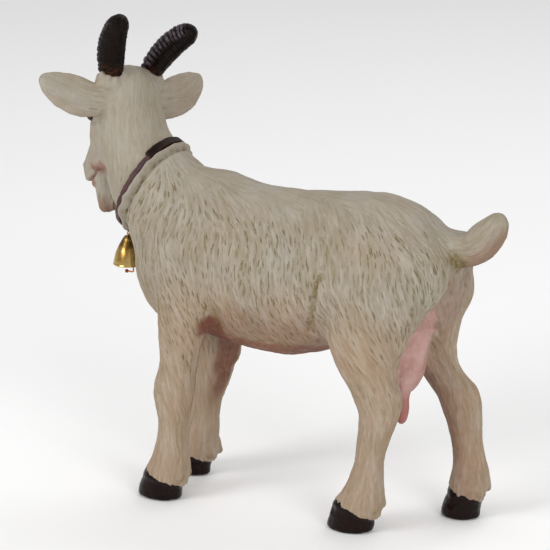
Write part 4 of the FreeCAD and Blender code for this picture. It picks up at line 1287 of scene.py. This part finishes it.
# Painted reflection: dark olive patches and a light and dark mottle on the polished bell.
bell_piece.data.materials.append(metal_material(
    "polished_brass", (208, 182, 120), (184, 150, 86), (82, 60, 24), 0.12, 0.24, 170, 0.56))
steel = metal_material(
    "steel_wire", (170, 160, 150), (130, 120, 112), (84, 66, 54), 0.28, 0.44, 900, 0.56)
WIRES = {
    "bell_staple": steel,
    "bell_ring": steel,
    "bell_hanger": metal_material(
        "brass_wire", (220, 180, 100), (196, 150, 72), (110, 80, 34), 0.22, 0.36, 900, 0.58),
    "clapper": metal_material(
        "copper_wire", (214, 140, 100), (180, 106, 74), (104, 58, 40), 0.24, 0.40, 900, 0.56),
}
for name, material in WIRES.items():
    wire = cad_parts[name]
    wire.data.materials.clear()
    wire.data.materials.append(material)

# ---- floor, light and camera ----
floor_mesh = bpy.data.meshes.new("floor")
edge, steps = 6.0, 24
floor_points = [(edge * (2 * i / steps - 1), edge * (2 * j / steps - 1), 0.0)
                for j in range(steps + 1) for i in range(steps + 1)]
floor_faces = [(j * (steps + 1) + i, j * (steps + 1) + i + 1, (j + 1) * (steps + 1) + i + 1,
                (j + 1) * (steps + 1) + i) for j in range(steps) for i in range(steps)]
floor_mesh.from_pydata(floor_points, [], floor_faces)
floor = bpy.data.objects.new("floor", floor_mesh)
bpy.context.scene.collection.objects.link(floor)
paper = Shader("studio_paper")
paper.base = paper.node("Mix", 2, {
    0: paper.noise(3, 2), 6: (0.93, 0.93, 0.93, 1), 7: (0.95, 0.95, 0.95, 1)}, data_type="RGBA")
floor_mesh.materials.append(paper.finish(0.9, 0.1))

TARGET = (0.006674, -0.001108, 0.060)
AZIMUTH, ELEVATION, DISTANCE = 115.0, 16.5, 0.600


def lamp(name, place, size, power):
    data = bpy.data.lights.new(name, "AREA")
    data.shape = "DISK"
    data.size = size
    data.energy = power
    obj = bpy.data.objects.new(name, data)
    obj.location = place
    obj.rotation_mode = "QUATERNION"
    obj.rotation_quaternion = (Vector(TARGET) - Vector(place)).to_track_quat("-Z", "Y")
    bpy.context.scene.collection.objects.link(obj)


lamp("key", (0.62, -0.42, 0.42), 0.40, 3.0)
lamp("fill", (0.55, 0.70, 0.40), 0.50, 3.2)
lamp("rim", (-0.45, 0.10, 0.70), 0.45, 1.2)

world = bpy.data.worlds.new("studio")
world.use_nodes = True
bpy.context.scene.world = world
world.node_tree.nodes["Background"].inputs["Color"].default_value = (1.0, 1.0, 1.0, 1.0)
world.node_tree.nodes["Background"].inputs["Strength"].default_value = 0.62

camera_data = bpy.data.cameras.new("camera")
camera_data.sensor_width = 36.0
camera_data.lens = 157.09
camera_data.clip_start, camera_data.clip_end = 0.02, 20.0
camera = bpy.data.objects.new("camera", camera_data)
a, e = math.radians(AZIMUTH), math.radians(ELEVATION)
back = Vector((math.sin(a) * math.cos(e), -math.cos(a) * math.cos(e), math.sin(e)))
camera.location = Vector(TARGET) + back * DISTANCE
camera.rotation_mode = "QUATERNION"
camera.rotation_quaternion = (-back).to_track_quat("-Z", "Y")
bpy.context.scene.collection.objects.link(camera)
bpy.context.scene.camera = camera
bpy.context.scene.view_settings.view_transform = "Standard"
